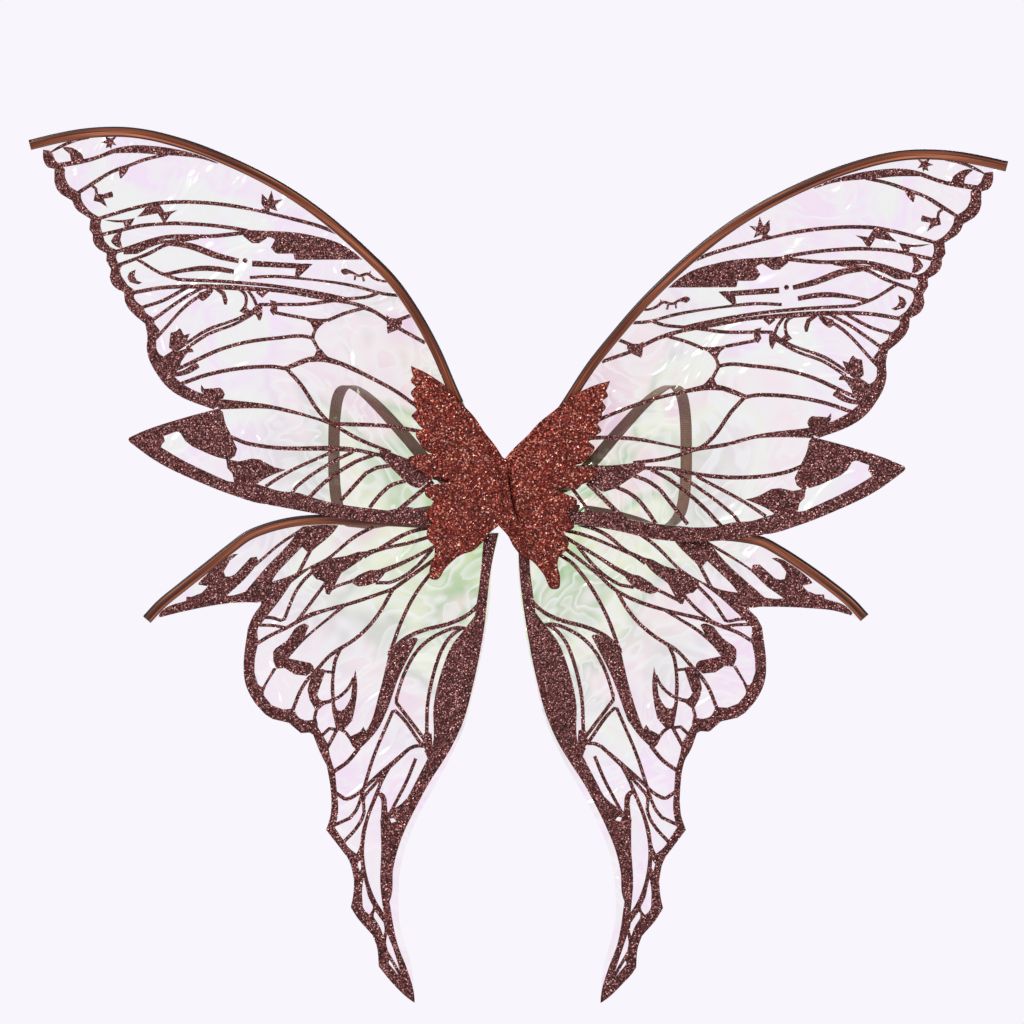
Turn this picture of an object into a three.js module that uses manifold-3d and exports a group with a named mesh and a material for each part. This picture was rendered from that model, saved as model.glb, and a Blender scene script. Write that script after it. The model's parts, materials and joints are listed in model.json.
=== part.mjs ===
// Fairy wings: a folding pair of clear-film wings with glitter veins, worn on two elastic arm loops.
// Millimetres. X points to the wearer's right, Y toward the wearer, Z up.
// The origin is the middle of the back pad's face that rests on the wearer.
import * as THREE from 'three';
import { mergeVertices } from 'three/addons/utils/BufferGeometryUtils.js';
import Module from 'manifold-3d';

// ---------------------------------------------------------------- driving dimensions
const GAP = 0.3;
const FOLD_X = 4;
const FILM = 0.4;
const GLITTER = 0.3;
const WIRE_RADIUS = 1.1;
const TAPE = 0.4;
const TAPE_WIDTH = 8.4;
const SLOT = FILM + 2 * GAP;
const BINDING = 2 * (WIRE_RADIUS + GAP + TAPE);
const FOAM = 2;
const BOARD = 1.6;
const LINING = 2.5;
const STRAP_WIDTH = 10;
const STRAP_THICK = 1.2;
const BACK_BOARD = 2;
const RIVET_RADIUS = 1.6;
const RIVET_HEAD = 3.2;
const CLIP_LENGTH = 12;
const CLIP_WIDTH = 8;
const VEIN_SPREAD = 0.9;
const TAPE_START = 34;
const FILM_START = 38;
const CURVE_TOLERANCE = 0.6;

// Layer positions behind the fold plane, counted toward the wearer.
const UPPER_MIDDLE = FOAM + GAP + BINDING / 2;
const LOWER_MIDDLE = UPPER_MIDDLE + BINDING + GAP;
const HUB_FRONT = LOWER_MIDDLE + BINDING / 2 + GAP;
const HUB_BACK = HUB_FRONT + BOARD;

// Layer positions along Y, from the wearer outward.
const STRAP_Y = -LINING - GAP - STRAP_THICK / 2;
const BOARD_INNER = -LINING - 2 * GAP - STRAP_THICK;
const BOARD_OUTER = BOARD_INNER - BACK_BOARD;
const FOLD_Y = BOARD_OUTER - 2 * GAP - HUB_BACK;

// Resting sweep of each half, and how far its wings sit from the drawing, [outward, up].
const SIDES = [
  { name: 'right', sign: 1, sweep: 10, upperShift: [0, 0], lowerShift: [0, 0], lowerLift: 0 },
  { name: 'left', sign: -1, sweep: 1, upperShift: [-9.3, 24.6], lowerShift: [9, -3], lowerLift: 14.5 },
];

// ---------------------------------------------------------------- wing drawing, [outward, up]
// Outer line of the leading edges, root to tip.
const UPPER_SPAR = [
  [12, 41], [20, 53], [30, 68], [40, 83], [60, 113], [80, 137.5], [100, 160.4], [120, 180.4],
  [140, 198.6], [160, 215], [180, 229.2], [200, 241.3], [220, 251.6], [240, 260.6], [260, 268.6],
  [280, 275], [300, 280], [320, 282.8], [340, 283], [360, 281.2], [380, 277.4], [402, 272],
];
const LOWER_SPAR = [
  [12, -9], [40, -11.5], [60, -12.7], [84, -14.7], [110, -18.7], [140, -21.9], [170, -24.8],
  [190, -26.9], [205, -30.2], [220, -38.2], [240, -51], [260, -65.4], [280, -82], [290, -93],
];

// Outer edge of the upper wing: arcs that meet at sharp notches, tip to root.
const UPPER_EDGE = [
  [[390, 264], [389.8, 256], [386.5, 249.8], [380.7, 248]],
  [[380.7, 248], [381, 240.5], [379.8, 234], [376, 228], [366.2, 222]],
  [[366.2, 222], [363.5, 216], [358.5, 211], [351.2, 207]],
  [[351.2, 207], [351.8, 201.5], [352, 198], [349.2, 194]],
  [[349.2, 194], [348.6, 187.5], [344.5, 182.3], [337.8, 178.5]],
  [[337.8, 178.5], [338.2, 172.5], [334.2, 165.7]],
  [[334.2, 165.7], [335.3, 159], [332.3, 151.8], [323.6, 146.5]],
  [[323.6, 146.5], [322.8, 139], [318.5, 131.5], [306, 120.5]],
  [[306, 120.5], [305.6, 115], [304.3, 110.5]],
  [[304.3, 110.5], [304.8, 100], [302.6, 90.5], [298.5, 82.5], [290, 70.5], [279, 61.7], [265, 56], [250, 50]],
  [[250, 50], [270, 44.2], [290, 37.5], [319.3, 26.7]],
  [[319.3, 26.7], [310.4, 17], [300, 9.2], [270, -5.7], [250, -15], [230, -22], [205, -28]],
  [[205, -28], [190, -31], [170, -33.4], [130, -33.8], [108.7, -31], [90, -26.5], [60, -21], [40, -18]],
];
// Inner edge of the scalloped rim, tip to the foot of the rim.
const UPPER_RIM = [
  [[383, 263], [380.5, 256], [376, 251.2], [372, 248]],
  [[372, 248], [372, 242], [369, 235], [359, 228]],
  [[359, 228], [357.8, 221.5], [351, 213], [342, 207.5]],
  [[342, 207.5], [342.8, 201.5], [340.5, 195], [339.5, 189], [335, 184], [328, 181]],
  [[328, 181], [330, 176], [328.5, 171.5], [325, 169]],
  [[325, 169], [327, 164], [324.5, 158], [320.4, 152.3], [313.5, 147.5]],
  [[313.5, 147.5], [315.4, 143], [313, 138.8], [307.5, 134.5]],
  [[307.5, 134.5], [305.5, 129.5], [299, 125.3]],
  [[299, 125.3], [298, 120.5], [294, 115.3]],
  [[294, 115.3], [297.2, 106], [295.6, 97.2], [288, 91.5]],
  [[288, 91.5], [285, 86], [282.5, 77.5], [275.6, 71]],
  [[275.6, 71], [266.4, 66], [253.3, 61.3], [240, 56.3]],
];
// Solid glitter fields of the upper wing.
const UPPER_FIELDS = [
  [[245, 51], [258, 48], [280, 41], [319.3, 26.7], [310.4, 17], [300, 9.2], [270, -5.7], [250, -15],
    [230, -22], [204, -28.2], [203, -15], [214, -11.5], [205.5, -6.2], [196.6, -2.2], [190, 0.2],
    [199.5, 2.6], [210, 8.3], [218.4, 9.5], [229, 7.2], [236.5, 8.6], [232, 11.7], [230.3, 17.6],
    [233.3, 23.5], [236.2, 30.5], [240, 38.5], [241, 45]],
  [[205, -14.5], [195, -17.3], [180, -18.5], [167, -21.6], [152.5, -22.6], [140, -22.3], [127, -21.8],
    [108.7, -19.3], [99, -17.8], [91.5, -14.7], [84, -10.9], [61, -10.4], [40, -8], [40, -18], [60, -21],
    [90, -26.5], [108.7, -31], [130, -33.8], [170, -33.4], [190, -31], [206, -27.8]],
  [[40, 26], [57, 28.7], [80, 28.4], [106, 31], [107, 24.5], [99, 19.5], [91.5, 14.7], [85.8, 10.5],
    [79, 7.6], [71.5, 7], [60.5, 15.5], [40, 13]],
  [[127, 173.8], [140, 184], [150, 188.5], [170, 194], [190, 195.4], [210, 197.2], [224, 198.4],
    [225.3, 193], [218.3, 187.2], [212.5, 187], [204, 192.3], [199.2, 190], [202.6, 183.5], [198, 178.7],
    [190, 178.6], [184, 178.6], [182, 173.4], [160, 173.1], [140, 173.9]],
  [[93, 128.4], [103, 128], [106.5, 130], [106, 124], [104.8, 116.6], [99.5, 119.3], [94, 121.5]],
  [[153, 125.3], [161, 124.9], [177, 126.3], [170, 121], [166.2, 113.5], [161, 119.5]],
  [[161.5, 100.5], [164.3, 100], [167, 94], [182, 88.2], [174, 89], [160, 89.5], [146, 87.8], [156, 94.5]],
  [[168, 170], [180.5, 170], [182, 165.5], [183, 159.5], [180.5, 158.5], [178, 161.5], [173, 165]],
  [[270, 101], [290, 93.6], [289, 84], [284, 77.5], [277.5, 83.7], [277, 88.3], [273.5, 93.3], [270.5, 97.3],
    [266, 97.2]],
  [[261.3, 84.5], [264.3, 88.7], [270, 85], [277, 81.5], [285, 79.5], [283.5, 76.5], [270, 79.5]],
  [[269, 112.7], [274, 111.2], [277.2, 117], [281, 114.3], [285, 113.5], [286, 106.5], [286.5, 101],
    [281, 97.8], [275.5, 101], [272, 105]],
  [[240.5, 62.5], [244.5, 68], [257.3, 67], [260, 70.5], [259.5, 64], [251, 59.8], [243, 57.8]],
  [[209.5, 134.5], [214.5, 136.5], [217.5, 131], [214.5, 127], [212.5, 122.3], [210, 126]],
  [[197.8, 139], [203.5, 140.5], [202, 136], [203.5, 131.5], [200.5, 127.5], [197.3, 130.5]],
  [[219.8, 131.7], [224.5, 136], [228.5, 131], [224.2, 128.8]],
  [[249.5, 150], [261, 147], [263, 142.8], [258.5, 139.3], [252, 144.5]],
  [[279.5, 214.4], [290, 212.8], [295.5, 221], [304, 219.5], [306.5, 215.5], [313, 208.5], [300, 211.2],
    [295, 211.2], [290.3, 202.8], [285, 211]],
  [[356.2, 255.3], [358, 260.5], [366, 265.6], [374, 265.6], [368, 260], [366.3, 252], [360, 252.8]],
  [[193, 223.5], [200, 222.5], [202, 230.8], [205, 223], [210, 228.3], [210.5, 220], [208, 216], [213, 214],
    [204, 210.6], [203.5, 216], [197, 213.5], [199, 218.5]],
  [[318, 252.5], [321, 246], [326.2, 240], [327.5, 244], [327.4, 250], [323, 251.2]],
  [[333.5, 229.8], [340.5, 227.4], [347.5, 227.6], [348.5, 221.8], [343, 220.5], [337, 216.2], [340, 223.5],
    [332.7, 224.8]],
  [[324.5, 199.5], [331, 194], [334.3, 188.5], [330.5, 184.5], [324.5, 182], [326.5, 190]],
  [[314.6, 207.8], [321.5, 206.5], [331, 206.8], [341, 206], [331, 204.3], [324, 204], [322.5, 199.2],
    [319, 199.8]],
];
// Film openings inside the solid fields.
const UPPER_OPENINGS = [
  [[277, 30.5], [280, 31.8], [290.8, 28], [289.8, 23.6], [292.8, 18.7], [278, 9.8], [260.3, 1], [240, -8.5],
    [233, -9.8], [234.3, -3], [238.4, 1.5], [239.5, 8.8], [244.2, 9.8], [253, 13.3], [267, 19.2], [273, 24]],
];
// Veins of the upper wing: [width, [outward, up, own width]...].
const UPPER_VEINS = [
  [2, [[246, 254], [260, 258.2], [280, 261.8, 4.5], [300, 263.8, 6], [315, 264.6, 5.5], [330, 263.4, 3],
    [345, 258, 2], [360, 253.6, 3], [378, 250.8, 3.4]]],
  [2, [[288, 260.5], [305, 256.4], [318, 251.8], [334, 245.5], [351, 235], [363, 227.5]]],
  [1.5, [[350.5, 235], [346.6, 231.8], [345.5, 226]]],
  [2.2, [[146, 195], [156, 199], [171, 203.5], [187, 207.8], [206, 211.4], [220, 215.2], [240, 219],
    [260, 220.5], [290, 220.8], [310, 217.2], [330, 211], [344, 207.5]]],
  [2.2, [[222, 197.5], [235, 199.8], [250, 201.3], [270, 203.2], [290, 203.2], [310, 201.4], [326, 198.2],
    [342, 194]]],
  [2.4, [[222, 196], [230, 195], [250, 193], [275, 192.8], [290, 192], [305, 187.8], [330, 180]]],
  [2, [[262, 191.8], [274, 189.6], [288, 188.8], [297, 187], [304.7, 184, 3], [314.6, 180.2, 4],
    [324, 179.2, 2]]],
  [4, [[229, 172.4, 3], [240, 174.8, 4], [260, 181, 4.2], [275, 186], [290, 187.5, 3]]],
  [2.2, [[282, 188.2], [290, 185.4], [300, 180], [312, 175], [327, 169.4]]],
  [3, [[233, 163.5, 3], [250, 166.2, 3.6], [262, 166.2, 3.4], [276, 164.3, 2.4], [290, 161.4, 2]]],
  [2, [[114, 146.4], [120, 144], [130, 143], [140, 141.2], [150, 143.6], [170, 147.2], [190, 150.6],
    [210, 152.8], [240, 155.4], [265, 156.4], [280, 157.4], [291, 161.3], [300, 166.4], [308, 170.6],
    [313, 174]]],
  [2.4, [[105, 126], [112, 129.6], [120, 133], [130, 136.3], [150, 140.6], [170, 143.4], [190, 146.3],
    [200, 148.2], [230, 150.2, 3.4], [250, 151.2, 3.4], [270, 151.6, 2.4], [290, 150.6], [318, 146]]],
  [1.8, [[96, 145.2], [105, 145.5], [115, 147], [130, 151.1], [150, 153.9], [170, 156.5], [185, 158.9],
    [200, 159.8], [220, 158.8]]],
  [2, [[126, 134], [140, 130], [148, 127], [156, 123.5]]],
  [2, [[165.8, 116], [168, 109.3], [166, 103.3], [162, 97]]],
  [2, [[150, 140], [170, 137.2], [190, 137], [200, 137.2], [213, 136], [216, 132.5], [225, 127],
    [240, 121.4], [254, 116], [266.5, 108.4], [280, 99.5], [293, 90.5]]],
  [2, [[174, 125.2], [187.5, 128.1], [199, 129.8]]],
  [1.8, [[213, 131.5], [221, 127.4], [226, 123.6], [240, 117.5], [256, 111], [272, 100.5]]],
  [2.2, [[167, 108.8], [172, 110.2], [180, 109.8], [200, 108.7], [220, 106], [240, 101], [262, 91],
    [279, 83.5]]],
  [2.8, [[78, 69.5, 2], [90, 74.6, 2.2], [110, 80.4, 2.4], [130, 85.6, 2.4], [150, 91], [162, 93.5],
    [181, 87.4], [191, 83.8], [200, 85.3, 2.4], [220, 84.6, 2.4], [240, 82, 2.4], [257, 78, 2.4],
    [277, 71, 2.4]]],
  [2.4, [[50, 62], [65, 64.5], [80, 70.4]]],
  [2.4, [[190, 84], [180, 73.3], [171, 60.8], [161, 48.4], [151, 41.6], [140, 43], [120, 46], [100, 49.8],
    [80, 51.2], [55, 50.5]]],
  [2.4, [[98, 30.2], [112, 32.2], [130, 34.8], [150, 41.2], [170, 44.2], [185, 47.8], [200, 51.6],
    [215, 53, 3.4], [230, 53.4, 5.4], [246, 54.5, 8]]],
  [2.4, [[104, 26], [125, 25.6], [150, 20.9], [171, 18.9], [190, 18.2], [210, 19.8], [226, 23.2],
    [236, 27.5]]],
  [2, [[150, 19.4], [170, 7.8], [186, -0.8], [198, -7.2], [207, -13.5]]],
  [2, [[131, 23.6], [150, 11], [170, -3.8], [182, -14], [186, -20]]],
  [2.4, [[113, 24.8], [130, 15.2], [146, 2.2], [160, -10], [171, -22]]],
  [2.4, [[98, 20], [110, 15.4], [120, 8.6], [131, -5], [143, -20]]],
  [2.4, [[84, 10.5], [98, 3.5], [109, -8.4], [117, -20]]],
  [3, [[60, 14], [72, 3], [84, -8.8], [92, -17]]],
  [2, [[44, 14], [51.4, 4.3], [58, -5], [64, -13]]],
  [2.2, [[83, 132.6], [90, 130.2], [97, 127]]],
  [2.2, [[72, 113.6], [82, 117.2], [96, 121.5]]],
  [1.8, [[229, 149], [224, 145.4], [222.8, 140.5], [224.2, 132]]],
  [1.8, [[222, 149], [217, 142], [213.5, 134]]],
  [3, [[248, 149.8, 2], [242.3, 146.5], [240, 140], [240, 136.4, 1.4]]],
  [2, [[204, 149.5], [210, 143.8, 3], [214, 147.4]]],
  [2, [[271, 151], [281, 145.5], [292, 139.5], [312, 133]]],
  [2, [[258, 151], [272, 143.2], [287, 132.2], [303, 121.5]]],
  [2.2, [[252, 149], [262, 143.4], [278, 127.5], [299, 107]]],
  [4, [[178, 168.3, 3.4], [200, 169.8, 4], [218, 170.4, 4]]],
];

// Outer edge of the lower wing, tip to the bottom of the tail.
const LOWER_EDGE = [
  [[284, -98], [276, -94], [262, -90.2], [240, -88.2], [210, -87.3], [190.5, -87.6]],
  [[190.5, -87.6], [200.3, -97.3], [203.6, -104], [204.7, -118.6], [207, -137], [204.5, -152], [196, -167],
    [185, -177.4], [170, -181.3], [160, -190]],
  [[160, -190], [151.2, -190], [147.6, -197], [144, -207], [140, -214], [137.2, -229], [136, -246],
    [137.2, -259], [141, -270.5]],
  [[141, -270.5], [130, -285], [122, -298], [119, -312], [120, -325], [122.2, -335]],
  [[122.2, -335], [116.7, -344], [105.7, -356.5], [101.3, -368], [99.8, -384.4]],
  [[99.8, -384.4], [89.7, -397], [70.2, -414.5]],
];
// Film edge and glitter edge on the side next to the wearer's spine, bottom to top.
const TAIL_FILM = [
  [70.2, -414.5], [70.6, -402], [73, -384], [79, -362], [82.4, -345], [82.4, -322], [79.5, -298],
  [71.5, -274], [59, -250], [46.5, -228], [34.5, -205.5], [25.5, -186], [19, -163], [14.2, -141],
  [9.4, -118], [5.4, -96], [2.6, -70], [0.9, -46], [0.8, -26],
];
const TAIL_GLITTER = [
  [70.2, -414.5], [73.8, -398], [77, -385], [83.5, -368], [88.3, -342], [88.7, -322], [85.8, -300],
  [79.8, -280], [70.5, -260.5], [60, -240], [48.3, -221.5], [37.2, -204], [28.2, -187], [23, -170],
  [17, -148.5], [13.2, -127.5], [9, -108], [6, -88], [3.7, -68], [1.9, -50], [1.6, -26],
];
// Inner side of the long glitter band, top to bottom.
const TAIL_BAND = [
  [[11, -26], [11.2, -54], [13.4, -76], [16, -93]],
  [[16, -93], [25, -104.5], [34.6, -116.7], [41, -131], [46, -148], [50, -166], [51.6, -190], [52, -203],
    [57.5, -214.5], [66, -231], [73, -243.5], [80, -250], [88, -254.5], [94, -259], [96, -262]],
  [[96, -262], [95.8, -280], [96.5, -300], [97.4, -317], [95, -343]],
];
// Inner edge of the lower wing's rim, side lobe to tail.
const LOWER_RIM = [
  [[193, -97], [195.4, -105], [194.8, -114], [197.6, -129], [197.6, -143], [194, -150.5], [189, -152]],
  [[189, -152], [190.3, -158], [184, -166.5], [175, -170], [165.5, -169.5]],
  [[165.5, -169.5], [161.5, -177], [156, -179.2], [149.5, -178.6]],
  [[149.5, -178.6], [143, -189], [137.5, -200], [136.4, -208], [132.4, -222], [130.6, -240], [130.6, -253],
    [132.3, -265], [133.6, -268.8]],
  [[133.6, -268.8], [126, -279.4], [117.5, -293.5]],
];
const LOWER_FIELDS = [
  [[269, -85], [261.5, -82.8], [254.5, -80.5], [254, -77], [250, -77.5], [242.5, -75.6], [237, -71.3],
    [237, -69.6], [244.6, -67.6], [236.7, -60.3], [229, -52.6], [216.3, -47.4], [211.2, -47.8],
    [218, -51.8], [223.3, -59], [222, -64.5], [215, -64.6], [208, -58.8], [201.5, -52.8], [196, -53],
    [195.4, -58.4], [205.4, -69], [221, -80.3], [206, -80], [196, -79], [190.5, -87.6], [210, -87.3],
    [240, -88.2], [262, -90.2], [276, -94], [276, -89]],
  [[158, -32], [168, -44.5], [180, -55.4], [190, -64.6], [206, -80], [204, -87], [190.5, -87.6],
    [183.3, -75.5], [174, -65.5], [164, -54.6], [158.5, -50], [155, -54.2], [149.6, -52.4], [138.7, -41.4],
    [130, -32], [130, -27], [156, -27]],
  [[147, -63.5], [160, -70], [172, -74], [184, -76], [192, -80], [193, -92], [200, -98], [196, -104],
    [187.5, -96], [177.4, -88.4], [167.3, -78.5], [158, -72]],
  [[104, -47], [112, -48.6], [122, -53.6], [135, -57.6], [147, -64.2], [152.4, -70], [147, -76.2],
    [141, -77.6], [139, -85], [135.3, -85], [130.5, -76], [125, -67.2], [110, -55.5]],
  [[90, -60], [101, -61.6], [109, -65.8], [118.5, -74], [112, -77.4], [104, -75], [96.5, -71],
    [91, -64]],
  [[153, -102.6], [158, -101.3], [165, -104.5], [171, -113], [182, -121], [182.5, -130], [180, -136.5],
    [173, -136], [165, -141.3], [155, -142.4], [148.6, -138], [151, -132.3], [158, -130], [170, -128],
    [165, -121.4], [157, -111]],
  [[63, -112.6], [67.5, -110.8], [76, -116], [86.5, -121.5], [89.5, -134], [94.6, -155], [99.5, -170.5],
    [105.7, -187.8], [108.3, -184.4], [111, -188.5], [120.5, -193.6], [118.5, -199], [113.5, -204.6],
    [104, -195.6], [93, -181.4], [85, -161], [78.1, -142], [70.5, -126.5]],
  [[114.6, -137], [117, -147], [118.4, -160], [124, -170], [129.5, -171], [132.4, -165], [134.6, -165.5],
    [132.8, -176], [130.5, -187.4], [124.4, -187.4], [117.5, -179.5], [114.6, -166], [113, -148]],
  [[139.3, -138.2], [144.5, -137], [150.5, -142], [154.3, -154], [152.4, -162.5], [147, -172], [140.5, -166.5],
    [134, -164.6], [134, -162], [142.5, -163], [146.2, -158], [143, -150]],
  [[111.5, -296], [117.5, -290], [125, -283], [128.5, -285], [122, -298], [119, -312], [120, -325],
    [122.2, -335], [116.7, -344],
    [105.7, -356.5], [101.3, -368], [99.8, -384.4], [89.7, -397], [70.2, -414.5], [73.8, -398],
    [77, -385], [83.5, -368], [88.3, -342], [90.5, -329], [94.5, -333], [94.8, -344], [99.5, -338.2],
    [104.5, -329.6], [108.2, -316]],
  [[52, -190], [58, -190], [60, -199], [57, -205], [56, -211], [52, -204]],
];
const LOWER_OPENINGS = [
  [[113.4, -295.7], [115.8, -299], [114.2, -305], [112.9, -302]],
  [[111, -311], [112.4, -319], [112.3, -334.4], [107.2, -341], [103.8, -334.5], [107.4, -327], [109.7, -319]],
  [[102.1, -338.4], [103.3, -343.6], [99, -350.4], [95.8, -358.6], [94.8, -355], [95.4, -348]],
  [[92.6, -357.5], [93.5, -365], [91.5, -373], [82.3, -388], [86.5, -374], [89.8, -364]],
  [[90.8, -379], [91.3, -382.3], [83.2, -392], [87.2, -384]],
  [[82.6, -263.4], [85, -260.6], [88.2, -261.4], [86.8, -264.6]],
];
const LOWER_VEINS = [
  [2.2, [[34, -24], [50, -27], [70, -34.6], [90, -42], [100, -46.3, 3], [108, -51, 5]]],
  [2.4, [[52, -20], [68, -25], [80, -32], [97, -45]]],
  [2.2, [[100, -26], [114, -36], [130, -52], [142, -61.8], [152, -67.4]]],
  [2.2, [[151, -51], [155.5, -60.5], [162, -72]]],
  [1.6, [[155, -33], [172.3, -43], [187.5, -53], [198, -60]]],
  [2.2, [[36, -28], [50, -36.4], [70, -48], [84, -57, 3], [98, -64.5, 4]]],
  [2, [[51, -38], [58, -47], [72, -60.5], [85, -69.4], [98, -72]]],
  [2, [[112, -71], [122, -75.8], [134, -81.4], [139, -84.4]]],
  [2.2, [[38, -38], [51, -48], [70, -62.8], [84, -75], [98, -81.6], [120, -89.4], [140, -94],
    [157, -98.2, 3], [171, -103.6], [186, -109.6], [198, -117]]],
  [2, [[139, -78], [150, -89.6], [164, -101]]],
  [2, [[148, -68], [161, -81], [170, -93], [174.3, -99.2], [184, -97.6], [196, -96.6]]],
  [1.8, [[170, -104], [183, -102.2], [198, -101.6]]],
  [2, [[124, -90.6], [140, -100.6], [153, -108.8], [164, -118.4], [171, -127]]],
  [2.2, [[34, -44], [45, -50.7], [58, -65.5], [68, -81.4], [77, -99], [84, -117], [87, -126]]],
  [2.2, [[84, -75.5], [90, -86], [100, -99], [115, -112], [133, -123.4], [150, -140.6], [158, -151],
    [164.5, -166], [168, -174]]],
  [2.2, [[127, -119.6], [131.6, -131], [133.6, -150], [132.8, -168]]],
  [1.6, [[133, -139.6], [141, -138.8]]],
  [1.8, [[116, -144], [121, -153.2], [130, -161], [138, -163.8]]],
  [2, [[147, -171], [148.6, -177], [147, -184]]],
  [2, [[130, -187], [136, -186], [140, -188.6], [144, -193]]],
  [2.2, [[130, -186.6], [133.6, -194], [139, -203]]],
  [2, [[118, -196], [123, -189.6], [128, -186]]],
  [2.4, [[112, -202], [122, -213.8], [135, -223]]],
  [1.8, [[181, -136], [186, -145.6], [191, -153.5]]],
  [2.6, [[10, -80], [18, -89], [30, -96.6], [47, -101.8], [64, -106.8], [76, -113.4], [87, -124]]],
  [2.2, [[23, -103.6], [30, -102.6], [38, -104.6], [52, -111.4], [62, -120], [71, -133], [78, -153.6],
    [81, -164.6], [74, -173], [57, -196.5]]],
  [2.2, [[26.6, -103], [36, -110], [44, -122.6], [50, -141], [54.6, -162], [56, -180], [56.6, -200]]],
  [2, [[60, -200], [72, -184], [83, -171.2], [89, -184], [98, -204], [107, -228], [112.9, -247.5],
    [119.8, -259.6], [134, -266.5]]],
  [2.2, [[58, -200.5], [68, -201.4], [80, -210.4], [90, -219.8, 3], [103, -230.4], [113, -239.6],
    [124, -244.8], [133, -239]]],
  [2.2, [[88, -219], [94, -229.6], [99.6, -244], [106.6, -260.5], [110.8, -277, 2.8], [112, -292, 3],
    [109.6, -311, 3], [103.5, -329, 3], [93.5, -346, 3]]],
  [2, [[92, -224], [101, -233], [109.4, -244.4], [109.2, -256], [115, -267.6], [128, -282]]],
  [2, [[110.5, -278], [113.6, -288], [118, -296]]],
  [2, [[65.5, -211], [70, -222.5], [80, -242.4], [90, -261]]],
  [4.4, [[98, -239, 2.4], [93.4, -243, 3.6], [92.4, -254], [93.4, -266]]],
  [2.2, [[57, -204], [54.4, -210]]],
];

// ---------------------------------------------------------------- glitter cover, flat on both halves
// The cover is one butterfly shape glued on slightly askew: tilt and centre, then its right lobe.
const COVER_TILT = 4.5;
const COVER_CENTRE = [-7, 7];
const COVER_LOBE = [
  [[-4.3, 34], [4, 43.5], [14, 52.7], [24, 63.5], [39, 75.3], [49, 84], [60, 89.7], [71, 94.3], [83, 97.6]],
  [[83, 97.6], [81.5, 93], [79.6, 89.5]],
  [[79.6, 89.5], [81.4, 85.6], [76.4, 81.3]],
  [[76.4, 81.3], [79.6, 75.4], [76.4, 71.5]],
  [[76.4, 71.5], [76.3, 67.5], [72.6, 62.1]],
  [[72.6, 62.1], [76, 56.8], [71.4, 52.9]],
  [[71.4, 52.9], [68.4, 49.8], [65, 48]],
  [[65, 48], [70.4, 43], [66.6, 36.6], [59.6, 30], [54, 28.6]],
  [[54, 28.6], [65, 26.2], [73.5, 21.8], [69.4, 16.8], [59.6, 12.6]],
  [[59.6, 12.6], [55.4, 8.6], [46, 10.2], [36.8, 8.2]],
  [[36.8, 8.2], [47.8, 4.2], [55.4, 0], [54.8, -5.5], [47, -9.8]],
  [[47, -9.8], [50, -16.5], [53.4, -22], [45, -27.2]],
  [[45, -27.2], [48.8, -36], [45.7, -42.6], [41, -45.6]],
  [[41, -45.6], [39.4, -52], [41.6, -65], [40.2, -73], [35.3, -73.6], [28, -61.6], [17, -49.5], [9, -45.4],
    [3, -38.6], [-1.5, -30], [-9.6, -20.9]],
];

// ---------------------------------------------------------------- pads, boards and straps
const HUB_OUTLINE = [
  [0.5, -14], [12, -23], [24, -35], [30, -35], [32, -20], [32, 50], [35, 66], [30, 66], [20, 55], [10, 41],
  [0.5, 28],
];
const PAD_HALF = [
  [0, -15], [13, -20], [26, -32], [34, -31], [37, -22], [38, 10], [37, 48], [33, 58], [26, 56], [14, 42],
  [0, 29],
];
const BLOCK = { halfWidth: 3.5, bottom: -14, top: 27 };
const CLIP_SPOTS = { upper: [21, 54.5], lower: [20, -9.7] };
const RIVET_SPOTS = [[29, 8], [29, -8]];

// Right arm loop: [x, y, z, facing], facing turns the strap from flat on the back (0) over the shoulder.
const STRAP_ROUTE = [
  [22, STRAP_Y, 8, 0], [47, STRAP_Y, 12, 0], [66, 0.5, 29, 12], [88, 6, 54, 30], [110, 14, 78, 52],
  [126, 34, 92, 80], [139, 62, 97, 92], [148, 92, 89, 130], [152, 112, 71, 165], [153, 118, 45, 180],
  [152, 112, 14, 200], [147, 92, -9, 235], [136, 62, -21, 268], [120, 30, -22, 305], [103, 9, -17.5, 335],
  [82, 0, -12.5, 350], [64, -2.2, -9.6, 357], [47, STRAP_Y, -8.4, 360], [22, STRAP_Y, -8, 360],
];

// ---------------------------------------------------------------- colours
const MATERIALS = {
  film: new THREE.MeshStandardMaterial({ color: 0xeadcf0, roughness: 0.15, transparent: true, opacity: 0.45 }),
  glitter: new THREE.MeshStandardMaterial({ color: 0x42201f, roughness: 0.5, metalness: 0.3 }),
  cover: new THREE.MeshStandardMaterial({ color: 0x7d231b, roughness: 0.5, metalness: 0.3 }),
  tape: new THREE.MeshStandardMaterial({ color: 0x8a4a33, roughness: 0.3 }),
  wire: new THREE.MeshStandardMaterial({ color: 0x6d6f73, roughness: 0.3, metalness: 0.9 }),
  elastic: new THREE.MeshStandardMaterial({ color: 0x6b4431, roughness: 0.85 }),
  felt: new THREE.MeshStandardMaterial({ color: 0x5a2a22, roughness: 0.95 }),
  board: new THREE.MeshStandardMaterial({ color: 0x3a2420, roughness: 0.7 }),
  nylon: new THREE.MeshStandardMaterial({ color: 0x2b1d1a, roughness: 0.5 }),
  brass: new THREE.MeshStandardMaterial({ color: 0x9c6b4a, roughness: 0.35, metalness: 0.9 }),
};

const wasm = await Module();
wasm.setup();

// ---------------------------------------------------------------- solids
function toSolid(geometry) {
  const clean = geometry.clone();
  clean.deleteAttribute('normal');
  clean.deleteAttribute('uv');
  const merged = mergeVertices(clean, 1e-4);
  return new wasm.Manifold(new wasm.Mesh({
    numProp: 3,
    vertProperties: new Float32Array(merged.attributes.position.array),
    triVerts: new Uint32Array(merged.index.array),
  }));
}

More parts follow.
